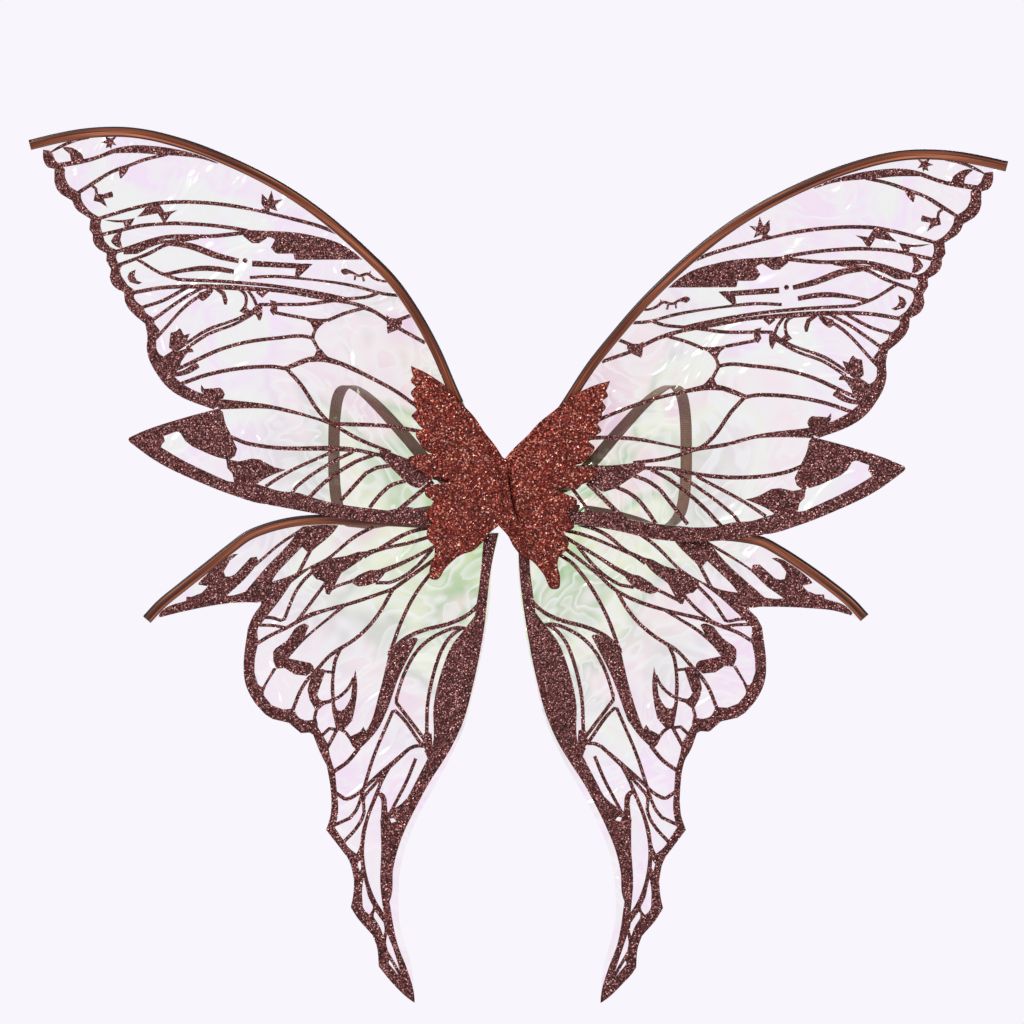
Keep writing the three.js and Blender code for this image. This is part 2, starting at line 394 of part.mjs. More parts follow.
function toGeometry(solid) {
  const mesh = solid.getMesh();
  const geometry = new THREE.BufferGeometry();
  geometry.setAttribute('position', new THREE.BufferAttribute(new Float32Array(mesh.vertProperties), 3));
  geometry.setIndex(new THREE.BufferAttribute(new Uint32Array(mesh.triVerts), 1));
  const flat = geometry.toNonIndexed();
  flat.computeVertexNormals();
  return flat;
}

function addTo(group, name, geometry, material) {
  const mesh = new THREE.Mesh(geometry, material);
  mesh.name = name;
  group.add(mesh);
}

// ---------------------------------------------------------------- curves
// Drops the samples of a curve that lie within the tolerance of a straight run.
function thin(points) {
  if (points.length < 3) return points;
  const first = points[0];
  const last = points[points.length - 1];
  const run = last.clone().sub(first);
  let worst = 0;
  let at = 0;
  for (let i = 1; i < points.length - 1; i += 1) {
    const step = points[i].clone().sub(first);
    const along = run.lengthSq() > 0 ? step.dot(run) / run.lengthSq() : 0;
    const off = step.sub(run.clone().multiplyScalar(along)).length();
    if (off > worst) {
      worst = off;
      at = i;
    }
  }
  if (worst < CURVE_TOLERANCE) return [first, last];
  return [...thin(points.slice(0, at + 1)), ...thin(points.slice(at)).slice(1)];
}

// Smooth curve through [outward, up, width] points; the width rides along as the third coordinate.
function smooth(points, width = 0) {
  const knots = points.map(([u, w, own]) => new THREE.Vector3(u, w, own ?? width));
  if (knots.length < 3) return knots;
  const curve = new THREE.CatmullRomCurve3(knots, false, 'centripetal');
  return thin(curve.getPoints((knots.length - 1) * 8));
}

// Joins arcs that share their end points into one line with sharp notches between them.
function joinArcs(arcs) {
  return arcs.flatMap((arc, i) => smooth(arc).slice(i === 0 ? 0 : 1));
}

// Sideways direction of a line at each of its points, pointing right of travel.
function sideways(points, i) {
  const before = points[Math.max(i - 1, 0)];
  const after = points[Math.min(i + 1, points.length - 1)];
  return new THREE.Vector2(after.y - before.y, before.x - after.x).normalize();
}

function offsetLine(points, distance) {
  return points.map((p, i) => {
    const side = sideways(points, i);
    return new THREE.Vector3(p.x + side.x * distance, p.y + side.y * distance, 0);
  });
}

// The part of a line beyond a distance from the fold.
function beyond(line, start) {
  const first = line.findIndex((p) => p.x > start);
  const before = line[first - 1];
  const share = (start - before.x) / (line[first].x - before.x);
  return [before.clone().lerp(line[first], share), ...line.slice(first)];
}

function ribbonOutline(points) {
  const edge = (sign) => points.map((p, i) => {
    const side = sideways(points, i).multiplyScalar(sign * p.z / 2);
    return new THREE.Vector3(p.x + side.x, p.y + side.y, 0);
  });
  return [...edge(1), ...edge(-1).reverse()];
}

// ---------------------------------------------------------------- flat layers
// A flat sheet from an outline in the wing plane, filling depths near..far behind the fold plane.
function sheet(outline, near, far) {
  const shape = new THREE.Shape(outline.map((p) => new THREE.Vector2(p.x, p.y)));
  const geometry = new THREE.ExtrudeGeometry(shape, { depth: far - near, bevelEnabled: false });
  geometry.rotateX(Math.PI / 2);
  geometry.translate(0, far, 0);
  return geometry;
}

function closedCurve(points) {
  const knots = points.map(([u, w]) => new THREE.Vector3(u, w, 0));
  const curve = new THREE.CatmullRomCurve3(knots, true, 'catmullrom', 0.35);
  const samples = curve.getPoints(knots.length * 5);
  const half = Math.floor(samples.length / 2);
  return [...thin(samples.slice(0, half + 1)), ...thin(samples.slice(half)).slice(1, -1)];
}

// Glitter runs a little past the drawn width of a vein.
function spread(line) {
  return line.map((p) => new THREE.Vector3(p.x, p.y, p.z + VEIN_SPREAD));
}

// Union of rim, fields and veins, less the openings and the strip taken by the edge binding.
function glitterWeb({ outlines, fields, openings, veins, middle, binding }) {
  const near = middle - FILM / 2 - GAP - GLITTER;
  const far = near + GLITTER;
  const pieces = [
    ...outlines,
    ...fields.map(closedCurve),
    ...veins.map(([width, points]) => ribbonOutline(spread(smooth(points, width)))),
  ].map((outline) => toSolid(sheet(outline, near, far)));
  const cuts = openings.map((hole) => toSolid(sheet(closedCurve(hole), near - 1, far + 1)));
  const strip = toSolid(sheet(ribbonOutline(binding), near - 1, far + 1));
  const web = wasm.Manifold.union(pieces);
  const trimmed = web.subtract(wasm.Manifold.union([...cuts, strip]));
  const parts = trimmed.decompose();
  parts.sort((a, b) => b.volume() - a.volume());
  return toGeometry(parts[0].simplify(0.1));
}

// ---------------------------------------------------------------- swept parts
// Sweeps a section along a route; frames[i] gives the two directions the section is drawn in.
function sweep(route, frames, outline) {
  const turned = THREE.ShapeUtils.area(outline.map(([a, b]) => new THREE.Vector2(a, b))) < 0;
  const section = turned ? outline.toReversed() : outline;
  const count = section.length;
  const positions = [];
  route.forEach((centre, i) => {
    for (const [a, b] of section) {
      const p = centre.clone().addScaledVector(frames[i].across, a).addScaledVector(frames[i].through, b);
      positions.push(p.x, p.y, p.z);
    }
  });
  const index = [];
  for (let i = 0; i < route.length - 1; i += 1) {
    for (let k = 0; k < count; k += 1) {
      const a = i * count + k;
      const b = i * count + ((k + 1) % count);
      index.push(a, b, a + count, b, b + count, a + count);
    }
  }
  const caps = THREE.ShapeUtils.triangulateShape(section.map(([a, b]) => new THREE.Vector2(a, b)), []);
  const end = (route.length - 1) * count;
  for (const [a, b, c] of caps) {
    index.push(a, c, b, end + a, end + b, end + c);
  }
  const geometry = new THREE.BufferGeometry();
  geometry.setAttribute('position', new THREE.Float32BufferAttribute(positions, 3));
  geometry.setIndex(index);
  const solid = toSolid(geometry);
  if (solid.volume() > 0) return toGeometry(solid);
  geometry.setIndex(index.toReversed());
  return toGeometry(toSolid(geometry));
}

function circleSection(radius, sides, offset = 0) {
  return Array.from({ length: sides }, (_, k) => {
    const angle = ((k + 0.5) * 2 * Math.PI) / sides;
    return [offset + radius * Math.cos(angle), radius * Math.sin(angle)];
  });
}

// Folded tape: closed over the wire on its outer side, open as a slot for the film on its inner side.
function bindingSection() {
  const cell = 2 * (WIRE_RADIUS + GAP);
  const lip = SLOT / 2;
  const half = BINDING / 2;
  const top = [
    [0, half], [cell + 0.9, half], [cell + 1.6, lip + TAPE], [TAPE_WIDTH, lip + TAPE], [TAPE_WIDTH, lip],
    [cell + 1.3, lip], [cell + 0.6, half - TAPE], [TAPE, half - TAPE],
  ];
  return [...top, ...top.map(([a, b]) => [a, -b]).reverse()];
}

function sparFrames(line) {
  return line.map((p, i) => {
    const side = sideways(line, i);
    return {
      across: new THREE.Vector3(side.x, 0, side.y),
      through: new THREE.Vector3(0, 1, 0),
    };
  });
}

function alongSpar(line, middle, section) {
  const route = line.map((p) => new THREE.Vector3(p.x, middle, p.y));
  return sweep(route, sparFrames(line), section);
}

// ---------------------------------------------------------------- wing drawing per side
function ramp(value, from, to) {
  const t = Math.min(Math.max((value - from) / (to - from), 0), 1);
  return t * t * (3 - 2 * t);
}

// The upper wing slides outward along its wires the further it is from the hub.
function placeUpper(side) {
  return ([u, w, own]) => {
    const share = ramp(Math.hypot(u, w - 5), 40, 190);
    return [u + share * side.upperShift[0], w + share * side.upperShift[1], own];
  };
}

// The lower wing is glued a little off, less so toward its tail, and its wire may be bowed up midway.
function placeLower(side) {
  return ([u, w, own]) => {
    const share = ramp(Math.hypot(u, w + 10), 8, 26) * (1 - 0.5 * ramp(-w, 150, 400));
    const bow = ramp(u, 40, 165) * (1 - ramp(u, 150, 262)) * (1 - ramp(-w, 75, 110));
    return [u + share * side.lowerShift[0], w + share * side.lowerShift[1] + bow * side.lowerLift, own];
  };
}

function placed(place, list) {
  return list.map((item) => item.map(place));
}

// Film outline: along the binding slot to the tip, round the outer edge and back across the root.
function filmOutline(spar, edge, root) {
  const slot = beyond(offsetLine(spar, 2 * (WIRE_RADIUS + GAP) + 1.7), FILM_START);
  return [...slot, ...edge, ...root];
}

function points2(list) {
  return list.map(([u, w]) => new THREE.Vector3(u, w, 0));
}

// The strip of film that the folded tape covers, as a line with its width.
function tapeStrip(taped) {
  return taped.map((p, i) => {
    const centre = new THREE.Vector2(p.x, p.y).addScaledVector(sideways(taped, i), TAPE_WIDTH / 2);
    return new THREE.Vector3(centre.x, centre.y, TAPE_WIDTH + 2 * GAP);
  });
}

function upperWing(side, group) {
  const place = placeUpper(side);
  const spar = smooth(UPPER_SPAR.map(place));
  const edge = joinArcs(placed(place, UPPER_EDGE));
  const rim = joinArcs(placed(place, UPPER_RIM));
  const rimFoot = joinArcs(placed(place, UPPER_EDGE.slice(0, 10)));
  const root = points2([[FILM_START, 6], [FILM_START, 40], [FILM_START - 1, 66]]);
  const taped = beyond(spar, TAPE_START);
  addTo(group, `${side.name}_upper_film`, sheet(
    filmOutline(spar, edge, root), UPPER_MIDDLE - FILM / 2, UPPER_MIDDLE + FILM / 2,
  ), MATERIALS.film);
  addTo(group, `${side.name}_upper_veins`, glitterWeb({
    outlines: [[...rimFoot, ...rim.toReversed()]],
    fields: placed(place, UPPER_FIELDS),
    openings: placed(place, UPPER_OPENINGS),
    veins: UPPER_VEINS.map(([width, line]) => [width, line.map(place)]),
    middle: UPPER_MIDDLE,
    binding: tapeStrip(taped),
  }), MATERIALS.glitter);
  addSpar(side, group, 'upper', spar, taped, UPPER_MIDDLE);
}

function lowerWing(side, group) {
  const place = placeLower(side);
  const spar = smooth(LOWER_SPAR.map(place));
  const edge = joinArcs(placed(place, LOWER_EDGE));
  const rim = joinArcs(placed(place, LOWER_RIM));
  const rimOuter = joinArcs(placed(place, LOWER_EDGE.slice(1, 4))).filter((p) => p.y > -300);
  const taped = beyond(spar, TAPE_START);
  const tailFilm = smooth(TAIL_FILM.map(place)).slice(1);
  const band = joinArcs(placed(place, TAIL_BAND));
  const tailGlitter = smooth(TAIL_GLITTER.map(place)).filter((p) => p.y > -346);
  addTo(group, `${side.name}_lower_film`, sheet(
    filmOutline(spar, [...edge, ...tailFilm], points2([[20, -26], [FILM_START, -21]])),
    LOWER_MIDDLE - FILM / 2, LOWER_MIDDLE + FILM / 2,
  ), MATERIALS.film);
  addTo(group, `${side.name}_lower_veins`, glitterWeb({
    outlines: [[...rimOuter, ...rim.toReversed()], [...tailGlitter, ...band]],
    fields: placed(place, LOWER_FIELDS),
    openings: placed(place, LOWER_OPENINGS),
    veins: LOWER_VEINS.map(([width, line]) => [width, line.map(place)]),
    middle: LOWER_MIDDLE,
    binding: tapeStrip(taped),
  }), MATERIALS.glitter);
  addSpar(side, group, 'lower', spar, taped, LOWER_MIDDLE);
}

// Spring wire, its folded tape binding, and the clip that holds the wire's root on the hub board.
function addSpar(side, group, which, spar, taped, middle) {
  const wireCentre = TAPE + GAP + WIRE_RADIUS;
  const wireLine = spar.slice(0, -1);
  addTo(group, `${side.name}_${which}_wire`,
    alongSpar(wireLine, middle, circleSection(WIRE_RADIUS, 8, wireCentre)), MATERIALS.wire);
  addTo(group, `${side.name}_${which}_binding`,
    alongSpar(taped, middle, bindingSection()), MATERIALS.tape);
  const [u, w] = CLIP_SPOTS[which];
  const near = spar.reduce((best, p, i) => (Math.hypot(p.x - u, p.y - w)
    < Math.hypot(spar[best].x - u, spar[best].y - w) ? i : best), 0);
  const along = sideways(spar, near);
  const centre = new THREE.Vector2(spar[near].x, spar[near].y).addScaledVector(along, wireCentre);
  const top = middle - BINDING / 2;
  const height = HUB_FRONT - GAP - top;
  const block = new THREE.BoxGeometry(CLIP_LENGTH, height, CLIP_WIDTH);
  block.rotateY(-Math.atan2(along.x, -along.y));
  block.translate(centre.x, top + height / 2, centre.y);
  const throughClip = spar.slice(0, Math.max(near + 4, 6));
  const bore = alongSpar(throughClip, middle, circleSection(WIRE_RADIUS + GAP, 8, wireCentre));
  addTo(group, `${side.name}_${which}_clip`,
    toGeometry(toSolid(block).subtract(toSolid(bore))), MATERIALS.nylon);
}

// ---------------------------------------------------------------- glitter cover and spine
function turn([x, z], degrees) {
  const a = THREE.MathUtils.degToRad(degrees);
  const dx = x - COVER_CENTRE[0];
  const dz = z - COVER_CENTRE[1];
  return [
    COVER_CENTRE[0] + dx * Math.cos(a) - dz * Math.sin(a),
    COVER_CENTRE[1] + dx * Math.sin(a) + dz * Math.cos(a),
  ];
}

// The left lobe is the right lobe mirrored about the cover's own tilted centre line.
function mirrorLobe(point) {
  const [x, z] = turn(point, COVER_TILT);
  return turn([2 * COVER_CENTRE[0] - x, z], -COVER_TILT);
}

function coverSolid() {
  const right = joinArcs(COVER_LOBE);
  const left = joinArcs(COVER_LOBE.map((arc) => arc.map(mirrorLobe))).reverse().slice(1, -1);
  return toSolid(sheet([...right, ...left], 0, FOAM));
}

function slice(solid, from, to) {
  const box = new THREE.BoxGeometry(to - from, 20, 400);
  box.translate((from + to) / 2, 0, 0);
  return toGeometry(solid.intersect(toSolid(box)));
}

// One half of the cover, brought to its own half-wing frame (mirrored back for the left half).
function coverHalf(side, cover) {
  const edge = FOLD_X + GAP;
  const half = side.sign > 0 ? slice(cover, edge, 200) : slice(cover, -200, -edge);
  if (side.sign < 0) {
    half.scale(-1, 1, 1);
    const p = half.attributes.position;
    for (let i = 0; i < p.count; i += 3) {
      const hold = new THREE.Vector3().fromBufferAttribute(p, i);
      p.setXYZ(i, p.getX(i + 2), p.getY(i + 2), p.getZ(i + 2));
      p.setXYZ(i + 2, hold.x, hold.y, hold.z);
    }
    half.computeVertexNormals();
  }
  half.translate(-FOLD_X, 0, 0);
  return half;
}

function halfWing(side, cover) {
  const group = new THREE.Group();
  group.position.set(side.sign * FOLD_X, FOLD_Y, 0);
  group.rotation.z = -side.sign * THREE.MathUtils.degToRad(side.sweep);
  group.scale.x = side.sign;
  addTo(group, `${side.name}_hub_board`, sheet(points2(HUB_OUTLINE), HUB_FRONT, HUB_BACK), MATERIALS.board);
  upperWing(side, group);
  lowerWing(side, group);
  addTo(group, `${side.name}_cover`, coverHalf(side, cover), MATERIALS.cover);
  return group;
}

// ---------------------------------------------------------------- back pad, boards, straps
function rod(radius, from, to, [x, z], sides = 12) {
  const geometry = new THREE.CylinderGeometry(radius, radius, Math.abs(to - from), sides);
  geometry.translate(x, (from + to) / 2, z);
  return geometry;
}

function rivetSpots() {
  return RIVET_SPOTS.flatMap(([x, z]) => [[x, z], [-x, z]]);
}

// A pad or board with the butterfly-shaped back outline, pierced at every rivet.
function backPlate(from, to, holeRadius) {
  const right = points2(PAD_HALF);
  const left = points2(PAD_HALF.slice(1, -1).map(([x, z]) => [-x, z])).reverse();
  const plate = toSolid(sheet([...right, ...left], from, to));
  const holes = rivetSpots().map((spot) => toSolid(rod(holeRadius, from - 1, to + 1, spot)));
  return toGeometry(plate.subtract(wasm.Manifold.union(holes)));
}

function strapSolid() {
  const knots = STRAP_ROUTE.map(([x, y, z]) => new THREE.Vector3(x, y, z));
  const curve = new THREE.CatmullRomCurve3(knots, false, 'centripetal');
  const steps = (knots.length - 1) * 2;
  const route = [];
  const frames = [];
  for (let i = 0; i <= steps; i += 1) {
    const at = (i / steps) * (knots.length - 1);
    const k = Math.min(Math.floor(at), knots.length - 2);
    const facing = THREE.MathUtils.lerp(STRAP_ROUTE[k][3], STRAP_ROUTE[k + 1][3], at - k);
    const angle = THREE.MathUtils.degToRad(facing);
    const tangent = curve.getTangent(i / steps);
    const through = new THREE.Vector3(0, -Math.cos(angle), Math.sin(angle));
    const across = new THREE.Vector3().crossVectors(tangent, through).normalize();
    through.crossVectors(across, tangent).normalize();
    route.push(curve.getPoint(i / steps));
    frames.push({ across, through });
  }
  const w = STRAP_WIDTH / 2;
  const t = STRAP_THICK / 2;
  const strap = toSolid(sweep(route, frames, [[-w, -t], [w, -t], [w, t], [-w, t]]));
  const holes = RIVET_SPOTS.map((spot) => toSolid(rod(RIVET_RADIUS + GAP, -9, 3, spot)));
  return strap.subtract(wasm.Manifold.union(holes));
}

function addStraps(group) {
  const strap = toGeometry(strapSolid());
  addTo(group, 'right_strap', strap, MATERIALS.elastic);
  const mirrored = new THREE.Group();
  mirrored.scale.x = -1;
  addTo(mirrored, 'left_strap', strap, MATERIALS.elastic);
  group.add(mirrored);
}

function addRivets(group) {
  for (const [x, z] of rivetSpots()) {
    const head = toSolid(rod(RIVET_HEAD, STRAP_Y + STRAP_THICK / 2 + GAP, -1, [x, z]));
    const shank = toSolid(rod(RIVET_RADIUS, -2, BOARD_OUTER + 0.2, [x, z]));
    const name = `${x > 0 ? 'right' : 'left'}_${z > 0 ? 'upper' : 'lower'}_rivet`;
    addTo(group, name, toGeometry(head.add(shank)), MATERIALS.brass);
  }
}

function centreBlock() {
  const depth = BOARD_OUTER - GAP - (FOLD_Y + FOAM + GAP);
  const height = BLOCK.top - BLOCK.bottom;
  const geometry = new THREE.BoxGeometry(2 * BLOCK.halfWidth, depth, height);
  geometry.translate(0, BOARD_OUTER - GAP - depth / 2, (BLOCK.top + BLOCK.bottom) / 2);
  return geometry;
}

function harness(cover) {
  const group = new THREE.Group();
  addTo(group, 'back_lining', backPlate(-LINING, 0, RIVET_HEAD + GAP), MATERIALS.felt);
  addTo(group, 'back_board', backPlate(BOARD_OUTER, BOARD_INNER, RIVET_RADIUS + GAP), MATERIALS.board);
  addTo(group, 'centre_block', centreBlock(), MATERIALS.nylon);
  const spine = slice(cover, -FOLD_X + GAP, FOLD_X - GAP);
  spine.translate(0, FOLD_Y, 0);
  addTo(group, 'cover_spine', spine, MATERIALS.cover);
  addStraps(group);
  addRivets(group);
  return group;
}

// ---------------------------------------------------------------- the whole part
const cover = coverSolid();
const part = new THREE.Group();
part.name = 'fairy_wings';
part.add(harness(cover));
for (const side of SIDES) {
  part.add(halfWing(side, cover));
}

export default part;
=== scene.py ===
"""Looks of the fairy wings: rippled clear film, glitter veins, bound wires, foam cover and arm loops."""

import json
import math

import bpy
import numpy as np
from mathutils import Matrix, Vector
from mathutils.geometry import delaunay_2d_cdt


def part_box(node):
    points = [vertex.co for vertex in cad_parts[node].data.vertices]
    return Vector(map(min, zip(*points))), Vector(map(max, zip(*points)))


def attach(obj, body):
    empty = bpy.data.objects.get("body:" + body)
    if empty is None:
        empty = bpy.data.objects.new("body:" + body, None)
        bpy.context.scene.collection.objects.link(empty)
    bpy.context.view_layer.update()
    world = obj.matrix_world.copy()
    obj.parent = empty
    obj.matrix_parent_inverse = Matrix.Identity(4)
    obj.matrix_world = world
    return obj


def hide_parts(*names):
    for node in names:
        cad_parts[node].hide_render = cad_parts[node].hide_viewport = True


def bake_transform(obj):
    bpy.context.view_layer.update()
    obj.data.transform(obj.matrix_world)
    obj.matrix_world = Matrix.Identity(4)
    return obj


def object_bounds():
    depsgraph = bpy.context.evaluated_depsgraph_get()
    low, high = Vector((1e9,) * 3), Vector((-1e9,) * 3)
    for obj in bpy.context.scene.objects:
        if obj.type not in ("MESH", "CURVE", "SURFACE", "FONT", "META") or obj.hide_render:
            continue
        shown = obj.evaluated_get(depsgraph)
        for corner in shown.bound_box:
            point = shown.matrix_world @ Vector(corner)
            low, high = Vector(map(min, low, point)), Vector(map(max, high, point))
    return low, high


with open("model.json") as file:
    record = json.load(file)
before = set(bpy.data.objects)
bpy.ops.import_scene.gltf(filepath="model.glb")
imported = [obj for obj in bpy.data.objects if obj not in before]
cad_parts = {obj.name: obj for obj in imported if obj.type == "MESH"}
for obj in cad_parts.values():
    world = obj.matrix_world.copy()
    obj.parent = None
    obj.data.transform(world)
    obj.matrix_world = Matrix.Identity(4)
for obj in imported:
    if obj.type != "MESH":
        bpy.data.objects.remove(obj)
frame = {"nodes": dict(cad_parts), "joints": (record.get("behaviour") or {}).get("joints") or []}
cad_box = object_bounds()

# ---------------------------------------------------------------- sizes, in metres
MM = 0.001
FOLD_X = 4 * MM
FOLD_BEND = 3 * MM
FILM_TO_GLITTER = 0.3 * MM
GLITTER = 0.3 * MM
VEIN_FLAKE = 0.8 * MM
COVER_FLAKE = 1.0 * MM
TAPE_WIDTH = 8.4 * MM
TAPE_ROLL = 1.8 * MM
TAPE_LIP = 0.9 * MM
LIP_START = 4.2 * MM
LIP_MIDDLE = 6.2 * MM
STRAP_WIDTH = 10 * MM
STRAP_THICK = 1.2 * MM
FOAM = 2 * MM
FOAM_PUFF = 3.6 * MM
FOAM_WAVE = 0.5 * MM
FOAM_ROLL = 0.5 * MM
CREASE_DEPTH = 0.9 * MM
RIDGE_HEIGHT = 1.4 * MM
FELT_DROP = 0.9 * MM
STITCH_DEPTH = 0.5 * MM
SOFT_EDGE = 0.25 * MM
GRAIN_BUMP = 0.5 * MM
STREAK_BUMP = 0.6 * MM
CRINKLE_BUMP = 12 * MM
FLOOR_DROP = 0.75
FLOOR_RADIUS = 3.2
FLOOR_SIDES = 64

# Camera and light.
CAMERA_PLACE = (0.00166, -2.6, -0.010)
CAMERA_LENS = 110
CAMERA_SENSOR = 36
BACKDROP = (0.939, 0.913, 0.973, 1)
ROOM_LIGHT = 0.45
BACKDROP_LIGHT = 1.0

# ---------------------------------------------------------------- drawings, in millimetres
# Steps along each outline, and between the points inside it, whose rows are ROW_SHARE of that apart.
FILM_STEP = 2.5
FILM_GRID = 5
VEIN_STEP = 1.2
VEIN_GRID = 3.5
FOAM_STEP = 1.5
FOAM_GRID = 2.2
FELT_STEP = 1.5
FELT_GRID = 2.2
TAPE_STEP = 4
STRAP_STEP = 4
ROW_SHARE = 0.866

# An outline's corner stays sharp where it turns by more degrees than CORNER_TURN divided by its longer
# side. That limit is never under LEAST_CORNER, nor over SHARP_CORNER, or FELT_CORNER on the lining.
CORNER_TURN = 150
LEAST_CORNER = 16
SHARP_CORNER = 48
FELT_CORNER = 35

# The least side of an outline, the fineness to which its corners are matched, how near a vertex is to
# count as on the outer face, how near two points are to be one, the least length that is divided by,
# and the height of a search band.
LEAST_SIDE = 0.35
MATCH = 0.01
FACE_MARGIN = 0.05
SAME_POINT = 1e-5
LEAST_GAP = 1e-9
BAND = 4

# Leading edges in the wing's own plane, outward and up, root to tip.
UPPER_SPAR = [
    (12, 41), (20, 53), (30, 68), (40, 83), (60, 113), (80, 137.5), (100, 160.4), (120, 180.4),
    (140, 198.6), (160, 215), (180, 229.2), (200, 241.3), (220, 251.6), (240, 260.6), (260, 268.6),
    (280, 275), (300, 280), (320, 282.8), (340, 283), (360, 281.2), (380, 277.4), (402, 272),
]
LOWER_SPAR = [
    (12, -9), (40, -11.5), (60, -12.7), (84, -14.7), (110, -18.7), (140, -21.9), (170, -24.8),
    (190, -26.9), (205, -30.2), (220, -38.2), (240, -51), (260, -65.4), (280, -82), (290, -93),
]
# How far out the tape starts.
TAPE_ROOT = 34

# Where a half's shift and bow grow and fade: from each wing's root, and outward and down.
UPPER_ROOT = (0, 5)
UPPER_GROWTH = (40, 190)
LOWER_ROOT = (0, -10)
LOWER_GROWTH = (8, 26)
TAIL_FADE = (150, 400)
TAIL_LOSS = 0.5
BOW_RISE = (40, 165)
BOW_FALL = (150, 262)
BOW_BELOW = (75, 110)

# Film relief: the height of each kind of wave, their common scale, and how far they take to fade in
# from the wire and from the hub.
PULL_HEIGHT = 0.5
SWAY_HEIGHT = 0.55
CRUMPLE_HEIGHT = 0.28
RELIEF = 0.8
WIRE_FADE = (6, 60)
HUB_FADE = (40, 150)

# Small glitter shapes that stand apart from the web, as (outward, up) outlines.
LOOSE_MOTIFS = [
    [(329, 275.6), (334.6, 273.4), (340, 275.6), (338, 272.2), (342.5, 270.2), (337.6, 269),
     (338.5, 265.2), (335.6, 266.4), (334, 264.6), (333.4, 268.4), (329.6, 267.6), (332.4, 271.4)],
    [(314, 165.5), (319, 163), (321, 159), (319, 155), (312, 153), (308.5, 154.5), (313, 156.5),
     (315, 160)],
    [(221.6, 172.7), (222.6, 174.6), (224.6, 174.8), (226, 173.2), (225.4, 171.2), (223, 170.6)],
]
# Glitter strokes that stand apart: (outward, up, width).
LOOSE_STROKES = [
    [(352, 273.6, 1), (360, 272.4, 2), (367, 270.4, 2.6), (377, 265.8, 2.4), (384, 261.8, 1)],
    [(107, 155.6, 1.8), (113, 156.6, 2.2), (118, 158.7, 2.4), (122, 161.7, 2.6), (131, 160.6, 2.2),
     (135.3, 163, 2.2), (138.5, 163.8, 3.4), (141.5, 163.8, 5.4), (144.6, 164.8, 2)],
    [(127.5, 161.6, 2), (126.6, 158.6, 1.8), (125.7, 155.8, 2.2)],
    [(133.2, 161.6, 2), (133.2, 158.8, 1.8), (133.4, 156.6, 1.4)],
    [(121.5, 161.6, 1.8), (120.4, 164.2, 0.8)],
]

# The cover's right lobe as curves between its sharp points, then its tilt and centre.
COVER_TILT = 4.5
COVER_CENTRE = (-7, 7)
COVER_LOBE = [
    [(-4.3, 34), (4, 43.5), (14, 52.7), (24, 63.5), (39, 75.3), (49, 84), (60, 89.7), (71, 94.3),
     (83, 97.6)],
    [(83, 97.6), (81.5, 93), (79.6, 89.5)],
    [(79.6, 89.5), (81.4, 85.6), (76.4, 81.3)],
    [(76.4, 81.3), (79.6, 75.4), (76.4, 71.5)],
    [(76.4, 71.5), (76.3, 67.5), (72.6, 62.1)],
    [(72.6, 62.1), (76, 56.8), (71.4, 52.9)],
    [(71.4, 52.9), (68.4, 49.8), (65, 48)],
    [(65, 48), (70.4, 43), (66.6, 36.6), (59.6, 30), (54, 28.6)],
    [(54, 28.6), (65, 26.2), (73.5, 21.8), (69.4, 16.8), (59.6, 12.6)],
    [(59.6, 12.6), (55.4, 8.6), (46, 10.2), (36.8, 8.2)],
    [(36.8, 8.2), (47.8, 4.2), (55.4, 0), (54.8, -5.5), (47, -9.8)],
    [(47, -9.8), (50, -16.5), (53.4, -22), (45, -27.2)],
    [(45, -27.2), (48.8, -36), (45.7, -42.6), (41, -45.6)],
    [(41, -45.6), (39.4, -52), (41.6, -65), (40.2, -73), (35.3, -73.6), (28, -61.6), (17, -49.5),
     (9, -45.4), (3, -38.6), (-1.5, -30), (-9.6, -20.9)],
]

# The cover's creases: how wide the sharp one, the one over the left fold and the ridge are, where the
# sharp one ends and over how much, and its rows of mesh points to either side.
SHARP_WIDTH = 1.1
SOFT_WIDTH = 3
RIDGE_WIDTH = 4.5
CREASE_TOP = 40
CREASE_END = -20
CREASE_FADE = 4
CREASE_ROWS = (-2, -1.3, -0.7, 0, 0.7, 1.3, 2)
CREASE_STEP = 1.1
# How far in from the cut edge the puff, the waves, the ridge and the rounded rim reach.
PUFF_REACH = (0, 14)
WAVE_REACH = (0, 8)
RIDGE_REACH = (2, 14)
CREASE_REACH = (0, 4)
ROLL_REACH = (0, 1.6)
# The lining's soft rim, and its sewn line.
RIM_REACH = (0, 3)
STITCH_INSET = 4.5
STITCH_WIDTH = 0.7

# Right arm loop: x, y, z, and the way the strap faces in degrees.
STRAP_FLAT_Y = -3.4
STRAP_ROUTE = [
    (22, STRAP_FLAT_Y, 8, 0), (47, STRAP_FLAT_Y, 12, 0), (66, 0.5, 29, 12), (88, 6, 54, 30),
    (110, 14, 78, 52), (126, 34, 92, 80), (139, 62, 97, 92), (148, 92, 89, 130), (152, 112, 71, 165),
    (153, 118, 45, 180), (152, 112, 14, 200), (147, 92, -9, 235), (136, 62, -21, 268),
    (120, 30, -22, 305), (103, 9, -17.5, 335), (82, 0, -12.5, 350), (64, -2.2, -9.6, 357),
    (47, STRAP_FLAT_Y, -8.4, 360), (22, STRAP_FLAT_Y, -8, 360),
]


# ---------------------------------------------------------------- the two half-wings
def ramp(value, low, high):
    """0 up to low, 1 from high on, and smooth between them."""
    t = np.clip((value - low) / (high - low), 0, 1)
    return t * t * (3 - 2 * t)


def bell(distance, width):
    """1 at no distance, falling off smoothly over the width."""
    return np.exp(-((distance / width) ** 2))


